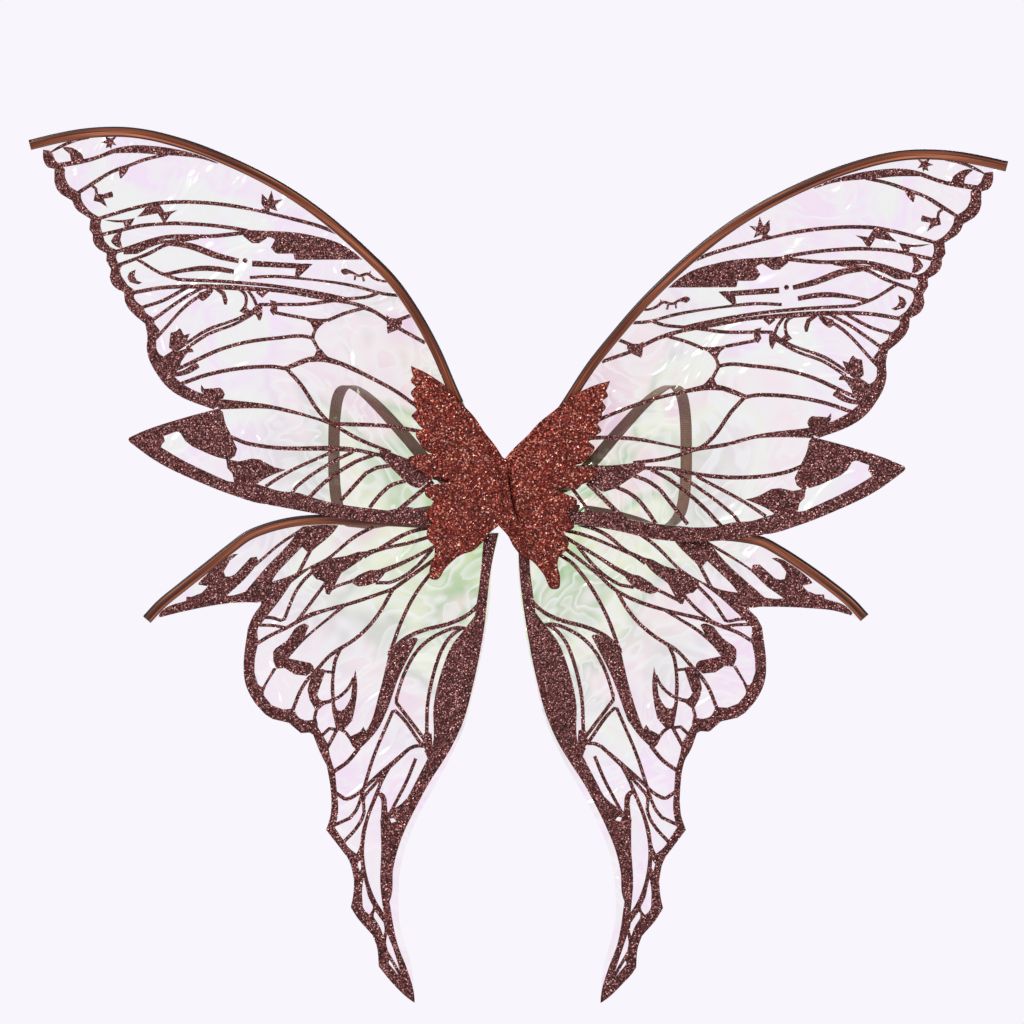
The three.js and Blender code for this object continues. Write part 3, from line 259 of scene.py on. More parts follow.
class Half:
    """One half-wing: its body, fold line and resting sweep, and how its own plane sits in the row frame."""

    def __init__(self, name, sign, upper_shift, lower_shift, lower_lift):
        joint = next(j for j in frame["joints"] if j["name"] == f"{name}_fold")
        self.name = name
        self.sign = sign
        self.upper_shift = np.array(upper_shift)
        self.lower_shift = np.array(lower_shift)
        self.lower_lift = lower_lift
        self.body = joint["child"]
        self.hinge = joint["pos_m"]
        self.sweep = math.radians(-joint["range_deg"][0])

    def to_row(self, out, up, depth, sweep=None):
        """Points of the row frame from places out and up in the plane, and depth toward the wearer."""
        angle = self.sweep if sweep is None else sweep
        x = self.hinge[0] + self.sign * (out * np.cos(angle) + depth * np.sin(angle))
        y = self.hinge[1] - out * np.sin(angle) + depth * np.cos(angle)
        return np.stack([x, y, up], axis=1)

    def direction(self, out, up, depth):
        """Directions in the plane, turned into the row frame."""
        zero = 0 * out
        return self.to_row(out, up, depth) - self.to_row(zero, zero, zero)

    def to_plane(self, points):
        """How far out, up and toward the wearer points of the row frame lie in the plane."""
        dx = self.sign * (points[:, 0] - self.hinge[0])
        dy = points[:, 1] - self.hinge[1]
        c, s = math.cos(self.sweep), math.sin(self.sweep)
        return dx * c - dy * s, points[:, 2], dx * s + dy * c

    def place(self, wing, points):
        """Millimetre points of the right wing's drawing, moved to where this half has them."""
        p = np.array(points, float)
        out, up = p[:, 0], p[:, 1]
        if wing == "upper":
            share = ramp(np.hypot(out - UPPER_ROOT[0], up - UPPER_ROOT[1]), *UPPER_GROWTH)
            return p + share[:, None] * self.upper_shift
        share = ramp(np.hypot(out - LOWER_ROOT[0], up - LOWER_ROOT[1]), *LOWER_GROWTH)
        share *= 1 - TAIL_LOSS * ramp(-up, *TAIL_FADE)
        bow = ramp(out, *BOW_RISE) * (1 - ramp(out, *BOW_FALL)) * (1 - ramp(-up, *BOW_BELOW))
        return p + share[:, None] * self.lower_shift + bow[:, None] * (0, self.lower_lift)


# The left half's wings are glued a little off, outward and up, and its lower wire is bowed up midway.
HALVES = [Half("right", 1, (0, 0), (0, 0), 0), Half("left", -1, (-9.3, 24.6), (9, -3), 14.5)]


# ---------------------------------------------------------------- curves in a plane
def smooth_between(values, gap, i, t):
    """Smooth values a share t of the way from value i to the next, where gap is how far apart they are."""
    slope = np.diff(values, axis=0) / gap
    middle = (slope[:-1] * gap[1:] + slope[1:] * gap[:-1]) / (gap[:-1] + gap[1:])
    tangent = np.vstack([slope[:1], middle, slope[-1:]])
    return (
        (1 + 2 * t) * (1 - t) ** 2 * values[i] + t * (1 - t) ** 2 * gap[i] * tangent[i]
        + t * t * (3 - 2 * t) * values[i + 1] + t * t * (t - 1) * gap[i] * tangent[i + 1]
    )


def spline(points, step, closed=False):
    """A smooth line through the points, in steps of about that length. A closed one isn't repeated."""
    p = np.array(points, float)
    if closed:
        p = np.vstack([p[-1], p, p[0], p[1]])
    gap = np.maximum(np.linalg.norm(np.diff(p[:, :2], axis=0), axis=1), LEAST_GAP)[:, None]
    stretches = range(1, len(p) - 2) if closed else range(len(p) - 1)
    counts = [max(1, round(float(gap[i, 0]) / step)) for i in stretches]
    t = np.concatenate([np.arange(count) / count for count in counts])[:, None]
    line = smooth_between(p, gap, np.repeat(stretches, counts), t)
    return line if closed else np.vstack([line, p[-1:]])


def rounded_loop(loop, step, sharp=SHARP_CORNER):
    """A coarse closed outline made smooth between its sharp corners."""
    p = np.array(loop, float)
    p = p[np.linalg.norm(p - np.roll(p, 1, 0), axis=1) > LEAST_SIDE]
    if len(p) < 3:
        return p
    into, out = p - np.roll(p, 1, 0), np.roll(p, -1, 0) - p
    cross = into[:, 0] * out[:, 1] - into[:, 1] * out[:, 0]
    turn = np.degrees(np.abs(np.arctan2(cross, (into * out).sum(1))))
    longer = np.maximum(np.linalg.norm(into, axis=1), np.linalg.norm(out, axis=1))
    corners = np.flatnonzero(turn > np.clip(CORNER_TURN / longer, LEAST_CORNER, sharp))
    if len(corners) == 0:
        return spline(p, step, closed=True)
    p = np.roll(p, -corners[0], 0)
    stops = [*(corners - corners[0]), len(p)]
    p = np.vstack([p, p[:1]])
    return np.vstack([spline(p[a:b + 1], step)[:-1] for a, b in zip(stops, stops[1:])])


def sideways(line):
    """Unit vectors across a flat line, one for each of its points."""
    along = np.gradient(line, axis=0)
    side = np.stack([along[:, 1], -along[:, 0]], 1)
    return side / np.linalg.norm(side, axis=1)[:, None]


def stroke_outline(points, step):
    """The outline of a stroke through (outward, up, width) points."""
    line = spline(points, step)
    half = sideways(line[:, :2]) * line[:, 2:3] / 2
    return np.vstack([line[:, :2] + half, (line[:, :2] - half)[::-1]])


def chained(edges):
    """Closed rings of corners, made from loose edges that each run from one corner to the next."""
    following = {}
    for a, b in sorted(edges):
        following.setdefault(a, []).append(b)
    rings = []
    while following:
        start = min(following)
        ring, at = [], start
        while at in following:
            ring.append(at)
            ahead = following[at].pop()
            if not following[at]:
                del following[at]
            at = ahead
            if at == start:
                break
        rings.append(ring)
    return rings


def outer_face_loops(node, to_plane):
    """The outlines, in millimetres, of the face of a flat CAD sheet that lies least deep in the plane."""
    mesh = frame["nodes"][node].data
    out, up, depth = to_plane(np.array([v.co for v in mesh.vertices]))
    keys = [tuple(k) for k in np.round(np.stack([out, up], 1) / (MATCH * MM)).astype(int)]
    front = depth < depth.min() + FACE_MARGIN * MM
    edges = set()
    for face in mesh.polygons:
        if all(front[v] for v in face.vertices):
            ring = [keys[v] for v in face.vertices]
            for a, b in zip(ring, ring[1:] + ring[:1]):
                if (b, a) in edges:
                    edges.remove((b, a))
                else:
                    edges.add((a, b))
    return [np.array(ring) * MATCH for ring in chained(edges) if len(ring) > 2]


def inside(centres, loops):
    """Which places the loops wind round, counting the outline edges to one side of each place."""
    a = np.vstack(loops)
    b = np.vstack([np.roll(loop, -1, 0) for loop in loops])
    bottom, top = np.minimum(a[:, 1], b[:, 1]), np.maximum(a[:, 1], b[:, 1])
    row = np.floor(centres[:, 1] / BAND).astype(int)
    turns = np.zeros(len(centres), int)
    for n in np.unique(row):
        mine = np.flatnonzero(row == n)
        near = (bottom <= (n + 1) * BAND) & (top >= n * BAND)
        p, q, c = a[near], b[near], centres[mine][:, None, :]
        rising = (p[:, 1] > c[:, :, 1]).astype(int) - (q[:, 1] > c[:, :, 1])
        rise = np.where(q[:, 1] == p[:, 1], 1, q[:, 1] - p[:, 1])
        meets = p[:, 0] + (c[:, :, 1] - p[:, 1]) * (q[:, 0] - p[:, 0]) / rise
        turns[mine] = (rising * (meets > c[:, :, 0])).sum(axis=1)
    return turns != 0


def only_used(faces):
    """The points that these faces use, and the faces with their points numbered among those."""
    used = sorted({v for f in faces for v in f})
    place = {v: i for i, v in enumerate(used)}
    return used, [tuple(place[v] for v in f) for f in faces]


def fill(loops, grid, extra=()):
    """Triangles inside the loops, with holes kept open and a grid of points for bending."""
    points, edges = [], []
    for loop in loops:
        first = len(points)
        points += [Vector(p) for p in loop]
        edges += [(first + i, first + (i + 1) % len(loop)) for i in range(len(loop))]
    low, high = np.min(points, axis=0), np.max(points, axis=0)
    for n, up in enumerate(np.arange(low[1] - grid, high[1] + grid, grid * ROW_SHARE)):
        start = low[0] - (1 + n % 2 / 2) * grid
        points += [Vector((out, up)) for out in np.arange(start, high[0] + grid, grid)]
    points += [Vector(p) for p in extra]
    verts, _, faces, *_ = delaunay_2d_cdt(points, edges, [], 0, SAME_POINT)
    verts = np.array(verts)
    within = inside(verts[np.array(faces)].mean(axis=1), loops)
    used, faces = only_used([f for f, kept in zip(faces, within) if kept])
    return verts[used], faces


def signed_area(loop):
    """The area inside a loop, less than zero if it runs clockwise."""
    ahead = np.roll(loop, -1, 0)
    return (loop[:, 0] * ahead[:, 1] - loop[:, 1] * ahead[:, 0]).sum() / 2


def facing_like(loop, model):
    """The loop, turned to run the same way round as another one."""
    return loop if signed_area(loop) * signed_area(model) > 0 else loop[::-1]


def distance_to(points, starts, ends):
    """How far each point lies from the nearest straight run between a start and its end."""
    nearest = np.full(len(points), np.inf)
    for start, end in zip(starts, ends):
        run = end - start
        share = np.clip((points - start) @ run / max(run @ run, LEAST_GAP), 0, 1)
        away = np.linalg.norm(points - start - share[:, None] * run, axis=1)
        nearest = np.minimum(nearest, away)
    return nearest


def distance_to_edge(points, outline):
    """How far each point lies from a closed outline."""
    return distance_to(points, outline, np.roll(outline, -1, 0))


def relief(points, spar):
    """How many millimetres the film stands off its flat plane: waves that fade at the hub and wire."""
    out, up = points.T
    reach = np.hypot(out, up)
    angle = np.arctan2(up, out)
    pull = np.sin(angle * 26 + np.sin(reach / 70))
    sway = np.sin(out / 31 + up / 47) + np.sin(out / 23 - up / 19 + 2) / 2
    crumple = np.sin(out / 9 + 2 * np.sin(up / 26)) * np.sin(up / 11 + 1.6 * np.sin(out / 33))
    waves = PULL_HEIGHT * pull + SWAY_HEIGHT * sway + CRUMPLE_HEIGHT * crumple
    to_wire = distance_to(points, spar[:-1], spar[1:])
    return RELIEF * waves * ramp(to_wire, *WIRE_FADE) * ramp(reach, *HUB_FADE)


# ---------------------------------------------------------------- meshes
def mesh_object(name, points, faces, material, uvs=None, smooth=True):
    """A named object in the scene with these points and faces."""
    mesh = bpy.data.meshes.new(name)
    mesh.from_pydata([tuple(p) for p in points], [], faces)
    if uvs is not None:
        layer = mesh.uv_layers.new(name="along")
        for loop in mesh.loops:
            layer.data[loop.index].uv = uvs[loop.vertex_index]
    mesh.materials.append(material)
    mesh.polygons.foreach_set("use_smooth", [smooth] * len(mesh.polygons))
    mesh.update()
    thing = bpy.data.objects.new(name, mesh)
    bpy.context.scene.collection.objects.link(thing)
    return thing


def reversed_faces(faces):
    """The same faces, facing the other way."""
    return [f[::-1] for f in faces]


def slab(outer, inner, faces):
    """Closes two matching surfaces into one solid: faces, their twins behind, and walls round the edges."""
    count = len(outer)
    edges = dict.fromkeys(edge for f in faces for edge in zip(f, f[1:] + f[:1]))
    walls = [(b, a, a + count, b + count) for a, b in edges if (b, a) not in edges]
    twins = [tuple(v + count for v in f[::-1]) for f in faces]
    return np.vstack([outer, inner]), [*faces, *twins, *walls]


def sweep_mesh(route, across, through, section):
    """A closed strip: the section carried along the route. Its UV is how far along and across it is."""
    rings, count = len(route), len(section)
    section = np.array(section)
    wide, deep = section[None, :, 0:1], section[None, :, 1:2]
    points = route[:, None, :] + across[:, None, :] * wide + through[:, None, :] * deep
    length = np.concatenate([[0], np.cumsum(np.linalg.norm(np.diff(route, axis=0), axis=1))])
    uvs = [(length[i], section[k, 0]) for i in range(rings) for k in range(count)]
    faces = []
    for i in range(rings - 1):
        for k in range(count):
            a, b = i * count + k, i * count + (k + 1) % count
            faces.append((a, b, b + count, a + count))
    faces.append(tuple(range(count))[::-1])
    faces.append(tuple((rings - 1) * count + k for k in range(count)))
    return points.reshape(-1, 3), faces, uvs


# ---------------------------------------------------------------- material helpers
def new_material(name, **sockets):
    """A material and its shader, with the shader's sockets set."""
    material = bpy.data.materials.new(name)
    material.use_nodes = True
    shader = material.node_tree.nodes["Principled BSDF"]
    for key, value in sockets.items():
        shader.inputs[key.replace("_", " ")].default_value = value
    return material, shader


def add_node(owner, kind, inputs=None, **settings):
    """A node in a material or world, its inputs joined to sockets or set to values."""
    node = owner.node_tree.nodes.new(kind)
    for key, value in settings.items():
        setattr(node, key, value)
    for key, value in (inputs or {}).items():
        if isinstance(value, bpy.types.NodeSocket):
            join(owner, value, node.inputs[key])
        else:
            node.inputs[key].default_value = value
    return node


def join(owner, output, target):
    """Links one node's output to another node's input."""
    owner.node_tree.links.new(output, target)


def noise(material, place, **sockets):
    """Cloudy noise over the places, about 0.3 to 0.7."""
    return add_node(material, "ShaderNodeTexNoise", {"Vector": place, **sockets}).outputs["Fac"]


def ramp_node(material, factor, stops):
    """Colours by factor, from stops of (place, colour). A colour of one number is a grey."""
    node = add_node(material, "ShaderNodeValToRGB", {"Fac": factor})
    elements = node.color_ramp.elements
    while len(elements) < len(stops):
        elements.new(0.5)
    for element, (place, colour) in zip(elements, stops):
        element.position = place
        element.color = (*colour, 1) if isinstance(colour, tuple) else (colour, colour, colour, 1)
    return node.outputs["Color"]


def mixed(material, factor, first, second, blend="MIX"):
    """Two colours mixed by the factor."""
    return add_node(material, "ShaderNodeMix", {
        "Factor": factor, "A": first, "B": second,
    }, data_type="RGBA", blend_type=blend).outputs["Result"]


def vector_math(material, operation, inputs):
    """The vector that an operation makes of one or two others."""
    return add_node(material, "ShaderNodeVectorMath", inputs, operation=operation).outputs["Vector"]


def place_node(material, scale=(1, 1, 1), source="Object"):
    """Places on the object or along its UV, scaled."""
    coordinates = add_node(material, "ShaderNodeTexCoord")
    return add_node(
        material, "ShaderNodeMapping", {"Vector": coordinates.outputs[source], "Scale": scale}
    ).outputs["Vector"]


def bump_node(material, height, strength, distance):
    """Normals tilted by the slope of a height."""
    return add_node(material, "ShaderNodeBump", {
        "Height": height, "Strength": strength, "Distance": distance,
    }).outputs["Normal"]


# ---------------------------------------------------------------- materials
def film_hue(material, place):
    """What the film lets through: pale lilac, pink and green patches; by the hub stronger and greener,
    where the green and yellow are painted glints of reflected light.
    """
    drift = noise(material, place, Scale=7, Detail=2, Distortion=1.4)
    outer = ramp_node(material, drift, [
        (0.32, (1.0, 0.86, 0.97)), (0.43, (1.0, 0.94, 0.95)), (0.51, (1.0, 0.87, 1.0)),
        (0.59, (0.96, 1.0, 0.93)), (0.70, (1.0, 0.90, 0.91)),
    ])
    # Painted glints: near the hub the tint turns stronger green and yellow, standing in for reflected
    # light.
    inner = ramp_node(material, drift, [
        (0.32, (0.82, 0.58, 0.66)), (0.44, (0.95, 0.84, 0.72)), (0.51, (0.40, 0.66, 0.28)),
        (0.58, (0.88, 0.97, 0.62)), (0.70, (0.86, 0.62, 0.70)),
    ])
    reach = add_node(material, "ShaderNodeVectorMath", {0: place}, operation="LENGTH").outputs["Value"]
    # How much of the hub tint, with its painted glints, shows: full at the hub, none farther out.
    hub_glint_share = add_node(material, "ShaderNodeMapRange", {
        "Value": reach, "From Min": 0.05, "From Max": 0.24, "To Min": 1.0, "To Max": 0.0,
    }).outputs["Result"]
    return mixed(material, hub_glint_share, outer, inner)


def film_material():
    """Clear crinkled film with painted pale highlights along its crease lines, and a sheen whose colour
    turns with the view.
    """
    material, shader = new_material("clear_film")
    place = place_node(material)
    creases = noise(material, place, Scale=11, Detail=2, Distortion=2.6, Roughness=0.45)
    # Painted highlight: along the noise's crease lines the tint turns pale white-green.
    painted_crease_highlight = ramp_node(material, creases, [
        (0.30, 0.0), (0.395, 0.6), (0.41, 0.0), (0.45, 0.0), (0.515, 0.8),
        (0.53, 0.0), (0.56, 0.0), (0.64, 0.6), (0.66, 0.0),
    ])
    tint = mixed(material, painted_crease_highlight, film_hue(material, place), (0.97, 1.0, 0.96, 1))
    normal = bump_node(material, creases, 1.0, CRINKLE_BUMP)
    facing = add_node(material, "ShaderNodeLayerWeight", {"Blend": 0.4, "Normal": normal})
    sheen = ramp_node(material, facing.outputs["Facing"], [
        (0.0, (1.0, 0.85, 0.97)), (0.08, (0.70, 1.0, 0.65)), (0.18, (1.0, 0.95, 0.65)),
        (0.34, (1.0, 0.70, 0.88)), (0.60, (0.82, 0.90, 1.0)),
    ])
    share = ramp_node(material, facing.outputs["Fresnel"], [(0.0, 0.04), (0.6, 0.45)])
    clear = add_node(material, "ShaderNodeBsdfTransparent", {"Color": tint})
    gloss = add_node(material, "ShaderNodeBsdfGlossy", {
        "Color": sheen, "Roughness": 0.18, "Normal": normal,
    })
    mix = add_node(material, "ShaderNodeMixShader", {
        "Fac": share, 1: clear.outputs["BSDF"], 2: gloss.outputs["BSDF"],
    })
    join(material, mix.outputs["Shader"], material.node_tree.nodes["Material Output"].inputs["Surface"])
    material.node_tree.nodes.remove(shader)
    return material


def glitter_material(name, stops, flake, roughness):
    """Packed flakes: each cell has its own tone and leans its own way, so some catch the light; the
    brightest cells are painted pinkish white as painted sparkle.
    """
    material, shader = new_material(name, Metallic=0.55, Roughness=roughness)
    place = place_node(material)
    cells = add_node(material, "ShaderNodeTexVoronoi", {
        "Vector": place, "Scale": 1 / flake,
    }).outputs["Color"]
    parts = add_node(material, "ShaderNodeSeparateColor", {"Color": cells})
    # Flake tone, and painted sparkle: the top of the ramp paints the brightest cells pinkish white.
    flake_tone_and_painted_sparkle = ramp_node(material, parts.outputs["Red"], stops)
    worn = ramp_node(material, noise(material, place, Scale=60, Detail=3), [(0.3, 0.72), (0.7, 1.0)])
    join(material, mixed(material, 1.0, flake_tone_and_painted_sparkle, worn, "MULTIPLY"), shader.inputs["Base Color"])
    face = add_node(material, "ShaderNodeNewGeometry").outputs["Normal"]
    lean = vector_math(material, "SUBTRACT", {0: cells, 1: (0.5, 0.5, 0.5)})
    leaning = vector_math(material, "ADD", {0: lean, 1: face})
    join(material, vector_math(material, "NORMALIZE", {0: leaning}), shader.inputs["Normal"])
    return material


def tape_material():
    """Glossy copper-brown tape: dark where it rolls over the wire, with fine lengthwise streaks."""
    material, shader = new_material(
        "copper_tape", Roughness=0.36, Specular_IOR_Level=0.35, Coat_Weight=0.12
    )
    streak = noise(material, place_node(material, (9, 700, 1), "UV"), Scale=1, Detail=3)
    streaks = ramp_node(material, streak, [
        (0.34, (0.04, 0.008, 0.003)), (0.46, (0.12, 0.026, 0.010)), (0.55, (0.22, 0.056, 0.021)),
        (0.66, (0.48, 0.17, 0.085)),
    ])
    parts = add_node(material, "ShaderNodeSeparateXYZ", {"Vector": place_node(material, source="UV")})
    across = add_node(material, "ShaderNodeMapRange", {
        "Value": parts.outputs["Y"], "From Max": TAPE_WIDTH,
    }).outputs["Result"]
    bands = ramp_node(material, across, [
        (0.0, 0.05), (0.17, 0.07), (0.24, 0.9), (0.90, 1.0), (0.97, 0.3),
    ])
    join(material, mixed(material, 1.0, streaks, bands, "MULTIPLY"), shader.inputs["Base Color"])
    join(material, bump_node(material, streak, 0.35, STREAK_BUMP), shader.inputs["Normal"])
    return material


def elastic_material():
    """Woven elastic: fine ribs across the strap and cords along it."""
    material, shader = new_material("woven_elastic", Roughness=0.85, Sheen_Weight=0.25)
    ribs = add_node(material, "ShaderNodeTexWave", {
        "Vector": place_node(material, (1, 0.05, 1), "UV"), "Scale": 180, "Distortion": 0.6,
    }, bands_direction="X").outputs["Fac"]
    cords = add_node(material, "ShaderNodeTexWave", {
        "Vector": place_node(material, (0.05, 1, 1), "UV"), "Scale": 300,
    }, bands_direction="Y").outputs["Fac"]
    weave = add_node(material, "ShaderNodeMath", {0: ribs, 1: cords}, operation="MULTIPLY").outputs["Value"]
    colour = ramp_node(material, weave, [(0.0, (0.13, 0.055, 0.035)), (0.6, (0.34, 0.17, 0.105))])
    join(material, colour, shader.inputs["Base Color"])
    join(material, bump_node(material, weave, 0.6, GRAIN_BUMP), shader.inputs["Normal"])
    return material


def grain_material(name, dark, light, scale, bump, **sockets):
    """A plain material with fine grain in its colour and surface."""
    material, shader = new_material(name, **sockets)
    grain = noise(material, place_node(material), Scale=scale, Detail=5, Roughness=0.7)
    join(material, ramp_node(material, grain, [(0.3, dark), (0.7, light)]), shader.inputs["Base Color"])
    join(material, bump_node(material, grain, bump, GRAIN_BUMP), shader.inputs["Normal"])
    return material


FILM = film_material()
# The top stop paints the brightest flakes pinkish white: painted sparkle.
VEIN_GLITTER = glitter_material("vein_glitter", [
    (0.0, (0.016, 0.003, 0.003)), (0.45, (0.062, 0.009, 0.009)), (0.76, (0.18, 0.039, 0.038)),
    (0.91, (0.47, 0.165, 0.15)), (1.0, (1.0, 0.62, 0.58)),
], VEIN_FLAKE, 0.34)
# The top stop paints the brightest flakes pinkish white: painted sparkle.
COVER_GLITTER = glitter_material("cover_glitter", [
    (0.0, (0.035, 0.003, 0.002)), (0.45, (0.13, 0.010, 0.006)), (0.78, (0.30, 0.032, 0.016)),
    (0.92, (0.62, 0.14, 0.07)), (1.0, (1.0, 0.62, 0.48)),
], COVER_FLAKE, 0.32)
TAPE = tape_material()
ELASTIC = elastic_material()
FELT = grain_material(
    "felt", (0.16, 0.06, 0.045), (0.30, 0.12, 0.09), 900, 0.6, Roughness=0.95, Sheen_Weight=0.3
)
BOARD = grain_material("board", (0.10, 0.055, 0.045), (0.17, 0.10, 0.085), 400, 0.25, Roughness=0.6)
NYLON = grain_material("nylon", (0.07, 0.04, 0.035), (0.13, 0.085, 0.075), 600, 0.15, Roughness=0.42)
STEEL = grain_material(
    "spring_wire", (0.30, 0.28, 0.27), (0.50, 0.49, 0.48), 700, 0.1, Metallic=0.95, Roughness=0.3
)
COPPER = grain_material(
    "rivet_metal", (0.42, 0.24, 0.15), (0.66, 0.42, 0.28), 500, 0.1, Metallic=0.95, Roughness=0.34
)
PALE = grain_material("floor", (0.88, 0.87, 0.90), (0.92, 0.91, 0.94), 3, 0.0, Roughness=0.8)


# ---------------------------------------------------------------- pieces
def film_depth(half, wing):
    """How deep the middle of one wing's flat film lies in its half's plane."""
    film = frame["nodes"][f"{half.name}_{wing}_film"].data
    depth = half.to_plane(np.array([v.co for v in film.vertices]))[2]
    return (depth.min() + depth.max()) / 2


def on_film(half, wing, spar, points, lift=0):
    """Points of the plane, in millimetres, laid on one wing's rippled film or lifted off its outer side."""
    depth = film_depth(half, wing) - lift + relief(points, spar) * MM
    return half.to_row(points[:, 0] * MM, points[:, 1] * MM, depth)


def wing_film(half, wing, spar):
    """The rippled film of one wing."""
    film_node = f"{half.name}_{wing}_film"
    outlines = outer_face_loops(film_node, half.to_plane)
    flat, faces = fill([rounded_loop(loop, FILM_STEP) for loop in outlines], FILM_GRID)
    if half.sign < 0:
        faces = reversed_faces(faces)
    film = mesh_object(f"{half.name}_{wing}_clear_film", on_film(half, wing, spar, flat), faces, FILM)
    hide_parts(film_node)
    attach(film, half.body)


def loose_glitter(half):
    """Outlines of the small shapes and strokes that stand apart on an upper wing."""
    loops = [rounded_loop(half.place("upper", motif), VEIN_STEP) for motif in LOOSE_MOTIFS]
    for stroke in LOOSE_STROKES:
        places, widths = np.array(stroke)[:, :2], np.array(stroke)[:, 2]
        loops.append(stroke_outline(np.column_stack([half.place("upper", places), widths]), VEIN_STEP))
    return loops


def wing_glitter(half, wing, spar):
    """The glitter pattern printed on the outer side of one wing's film."""
    web_node = f"{half.name}_{wing}_veins"
    loops = [rounded_loop(loop, VEIN_STEP) for loop in outer_face_loops(web_node, half.to_plane)]
    if wing == "upper":
        model = max(loops, key=len)
        loops += [facing_like(loop, model) for loop in loose_glitter(half)]
    flat, faces = fill(loops, VEIN_GRID)
    outer = on_film(half, wing, spar, flat, FILM_TO_GLITTER + GLITTER)
    inner = on_film(half, wing, spar, flat, FILM_TO_GLITTER)
    points, faces = slab(outer, inner, faces)
    if half.sign < 0:
        faces = reversed_faces(faces)
    web = mesh_object(f"{half.name}_{wing}_glitter", points, faces, VEIN_GLITTER, smooth=False)
    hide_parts(web_node)
    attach(web, half.body)


def tape_section():
    """Cross-section of the tape folded over wire and film: a round roll, then two thin lips."""
    roll = [
        (TAPE_ROLL * (1 - math.cos(a)), TAPE_ROLL * math.sin(a))
        for a in np.radians([0, 30, 60, 90, 115, 135])
    ]
    lip = [(LIP_START, TAPE_LIP), (LIP_MIDDLE, TAPE_LIP * 0.85), (TAPE_WIDTH, TAPE_LIP * 0.8)]
    side = roll + lip
    return side[::-1] + [(a, -b) for a, b in side[1:]]


def binding(half, wing, spar):
    """The glossy tape along a leading edge, from the cover to its square-cut end."""
    line = spline(spar, TAPE_STEP)
    line = line[line[:, 0] > TAPE_ROOT]
    side = sideways(line)
    zero = np.zeros(len(line))
    route = half.to_row(line[:, 0] * MM, line[:, 1] * MM, zero + film_depth(half, wing))
    across = half.direction(side[:, 0], side[:, 1], zero)
    through = half.direction(zero, zero, zero + 1)
    points, faces, uvs = sweep_mesh(route, across, through, tape_section())
    if half.sign > 0:
        faces = reversed_faces(faces)
    tape = mesh_object(f"{half.name}_{wing}_tape", points, faces, TAPE, uvs)
    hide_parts(f"{half.name}_{wing}_binding")
    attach(tape, half.body)


def turned(points, degrees):
    """Points of the cover's drawing turned about its centre."""
    a = math.radians(degrees)
    p = np.array(points, float) - COVER_CENTRE
    return p @ np.array([[math.cos(a), math.sin(a)], [-math.sin(a), math.cos(a)]]) + COVER_CENTRE


def cover_outline():
    """The whole cover's outline: the right lobe, and its mirror image about the tilted centre line."""
    right = np.vstack([spline(arc, FOAM_STEP)[:-1] for arc in COVER_LOBE] + [[COVER_LOBE[-1][-1]]])
    upright = turned(right, COVER_TILT)
    upright[:, 0] = 2 * COVER_CENTRE[0] - upright[:, 0]
    left = turned(upright, -COVER_TILT)
    return np.vstack([right, left[::-1][1:-1]])


def right_crease(z):
    """Where the cover's sharp crease runs: down the middle, then curving out across the right fold."""
    return -2.2 + 3 * np.exp((8 - z) / 20)


def left_ridge(z):
    """Where the soft ridge of the left lobe runs, from beside the fold up and outward."""
    return -9.5 - 0.12 * z - 0.0027 * z * z


def cover_surface(flat, outline):
    """Outer and inner faces of the foam cover: puffed between its cut edge and the two creases."""
    edge = distance_to_edge(flat, outline)
    x, z = flat[:, 0], flat[:, 1]
    sharp = bell(x - right_crease(z), SHARP_WIDTH)
    sharp = sharp * ramp(z, CREASE_END - CREASE_FADE, CREASE_END + CREASE_FADE)
    soft = bell(x + FOLD_X / MM, SOFT_WIDTH)
    ridge = bell(x - left_ridge(z), RIDGE_WIDTH) * ramp(edge, *RIDGE_REACH)
    waves = np.sin(x / 6 + z / 13) * np.sin(z / 9 - x / 17) * ramp(edge, *WAVE_REACH)
    puff = FOAM_PUFF * ramp(edge, *PUFF_REACH) * (1 - 0.7 * soft) * (1 - sharp) + FOAM_WAVE * waves
    puff += RIDGE_HEIGHT * ridge - CREASE_DEPTH * sharp * ramp(edge, *CREASE_REACH)
    roll = FOAM_ROLL * (1 - ramp(edge, *ROLL_REACH))
    outer, inner = np.zeros((len(flat), 3)), np.zeros((len(flat), 3))
    for half in HALVES:
        mine = half.sign * x >= 0
        out = np.abs(x[mine]) * MM - FOLD_X
        sweep = half.sweep * ramp(out, -FOLD_BEND, FOLD_BEND)
        outer[mine] = half.to_row(out, z[mine] * MM, roll[mine] - puff[mine], sweep)
        inner[mine] = half.to_row(out, z[mine] * MM, FOAM + 0 * out, sweep)
    return outer, inner


def glitter_cover():
    """The butterfly-shaped foam cover, in two pieces, each shaped with a bend along its own fold line."""
    outline = cover_outline()
    crease = [
        (right_crease(z) + x, z)
        for x in CREASE_ROWS
        for z in np.arange(CREASE_END - CREASE_FADE, CREASE_TOP, CREASE_STEP)
    ]
    flat, faces = fill([outline], FOAM_GRID, crease)
    outer, inner = cover_surface(flat, outline)
    for half in HALVES:
        mine = [f for f in faces if half.sign * sum(flat[v][0] for v in f) > 0]
        used, kept = only_used(mine)
        points, solid = slab(outer[used], inner[used], kept)
        cover = mesh_object(f"{half.name}_glitter_cover", points, solid, COVER_GLITTER)
        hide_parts(f"{half.name}_cover", "cover_spine")
        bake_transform(cover)


def strap_section():
    """Cross-section of the elastic: flat, with softened edges."""
    wide, thick = STRAP_WIDTH / 2, STRAP_THICK / 2
    flat_edge, round_edge = wide * 0.93, thick * 0.5
    return [
        (-wide, -round_edge), (-flat_edge, -thick), (flat_edge, -thick), (wide, -round_edge),
        (wide, round_edge), (flat_edge, thick), (-flat_edge, thick), (-wide, round_edge),
    ]


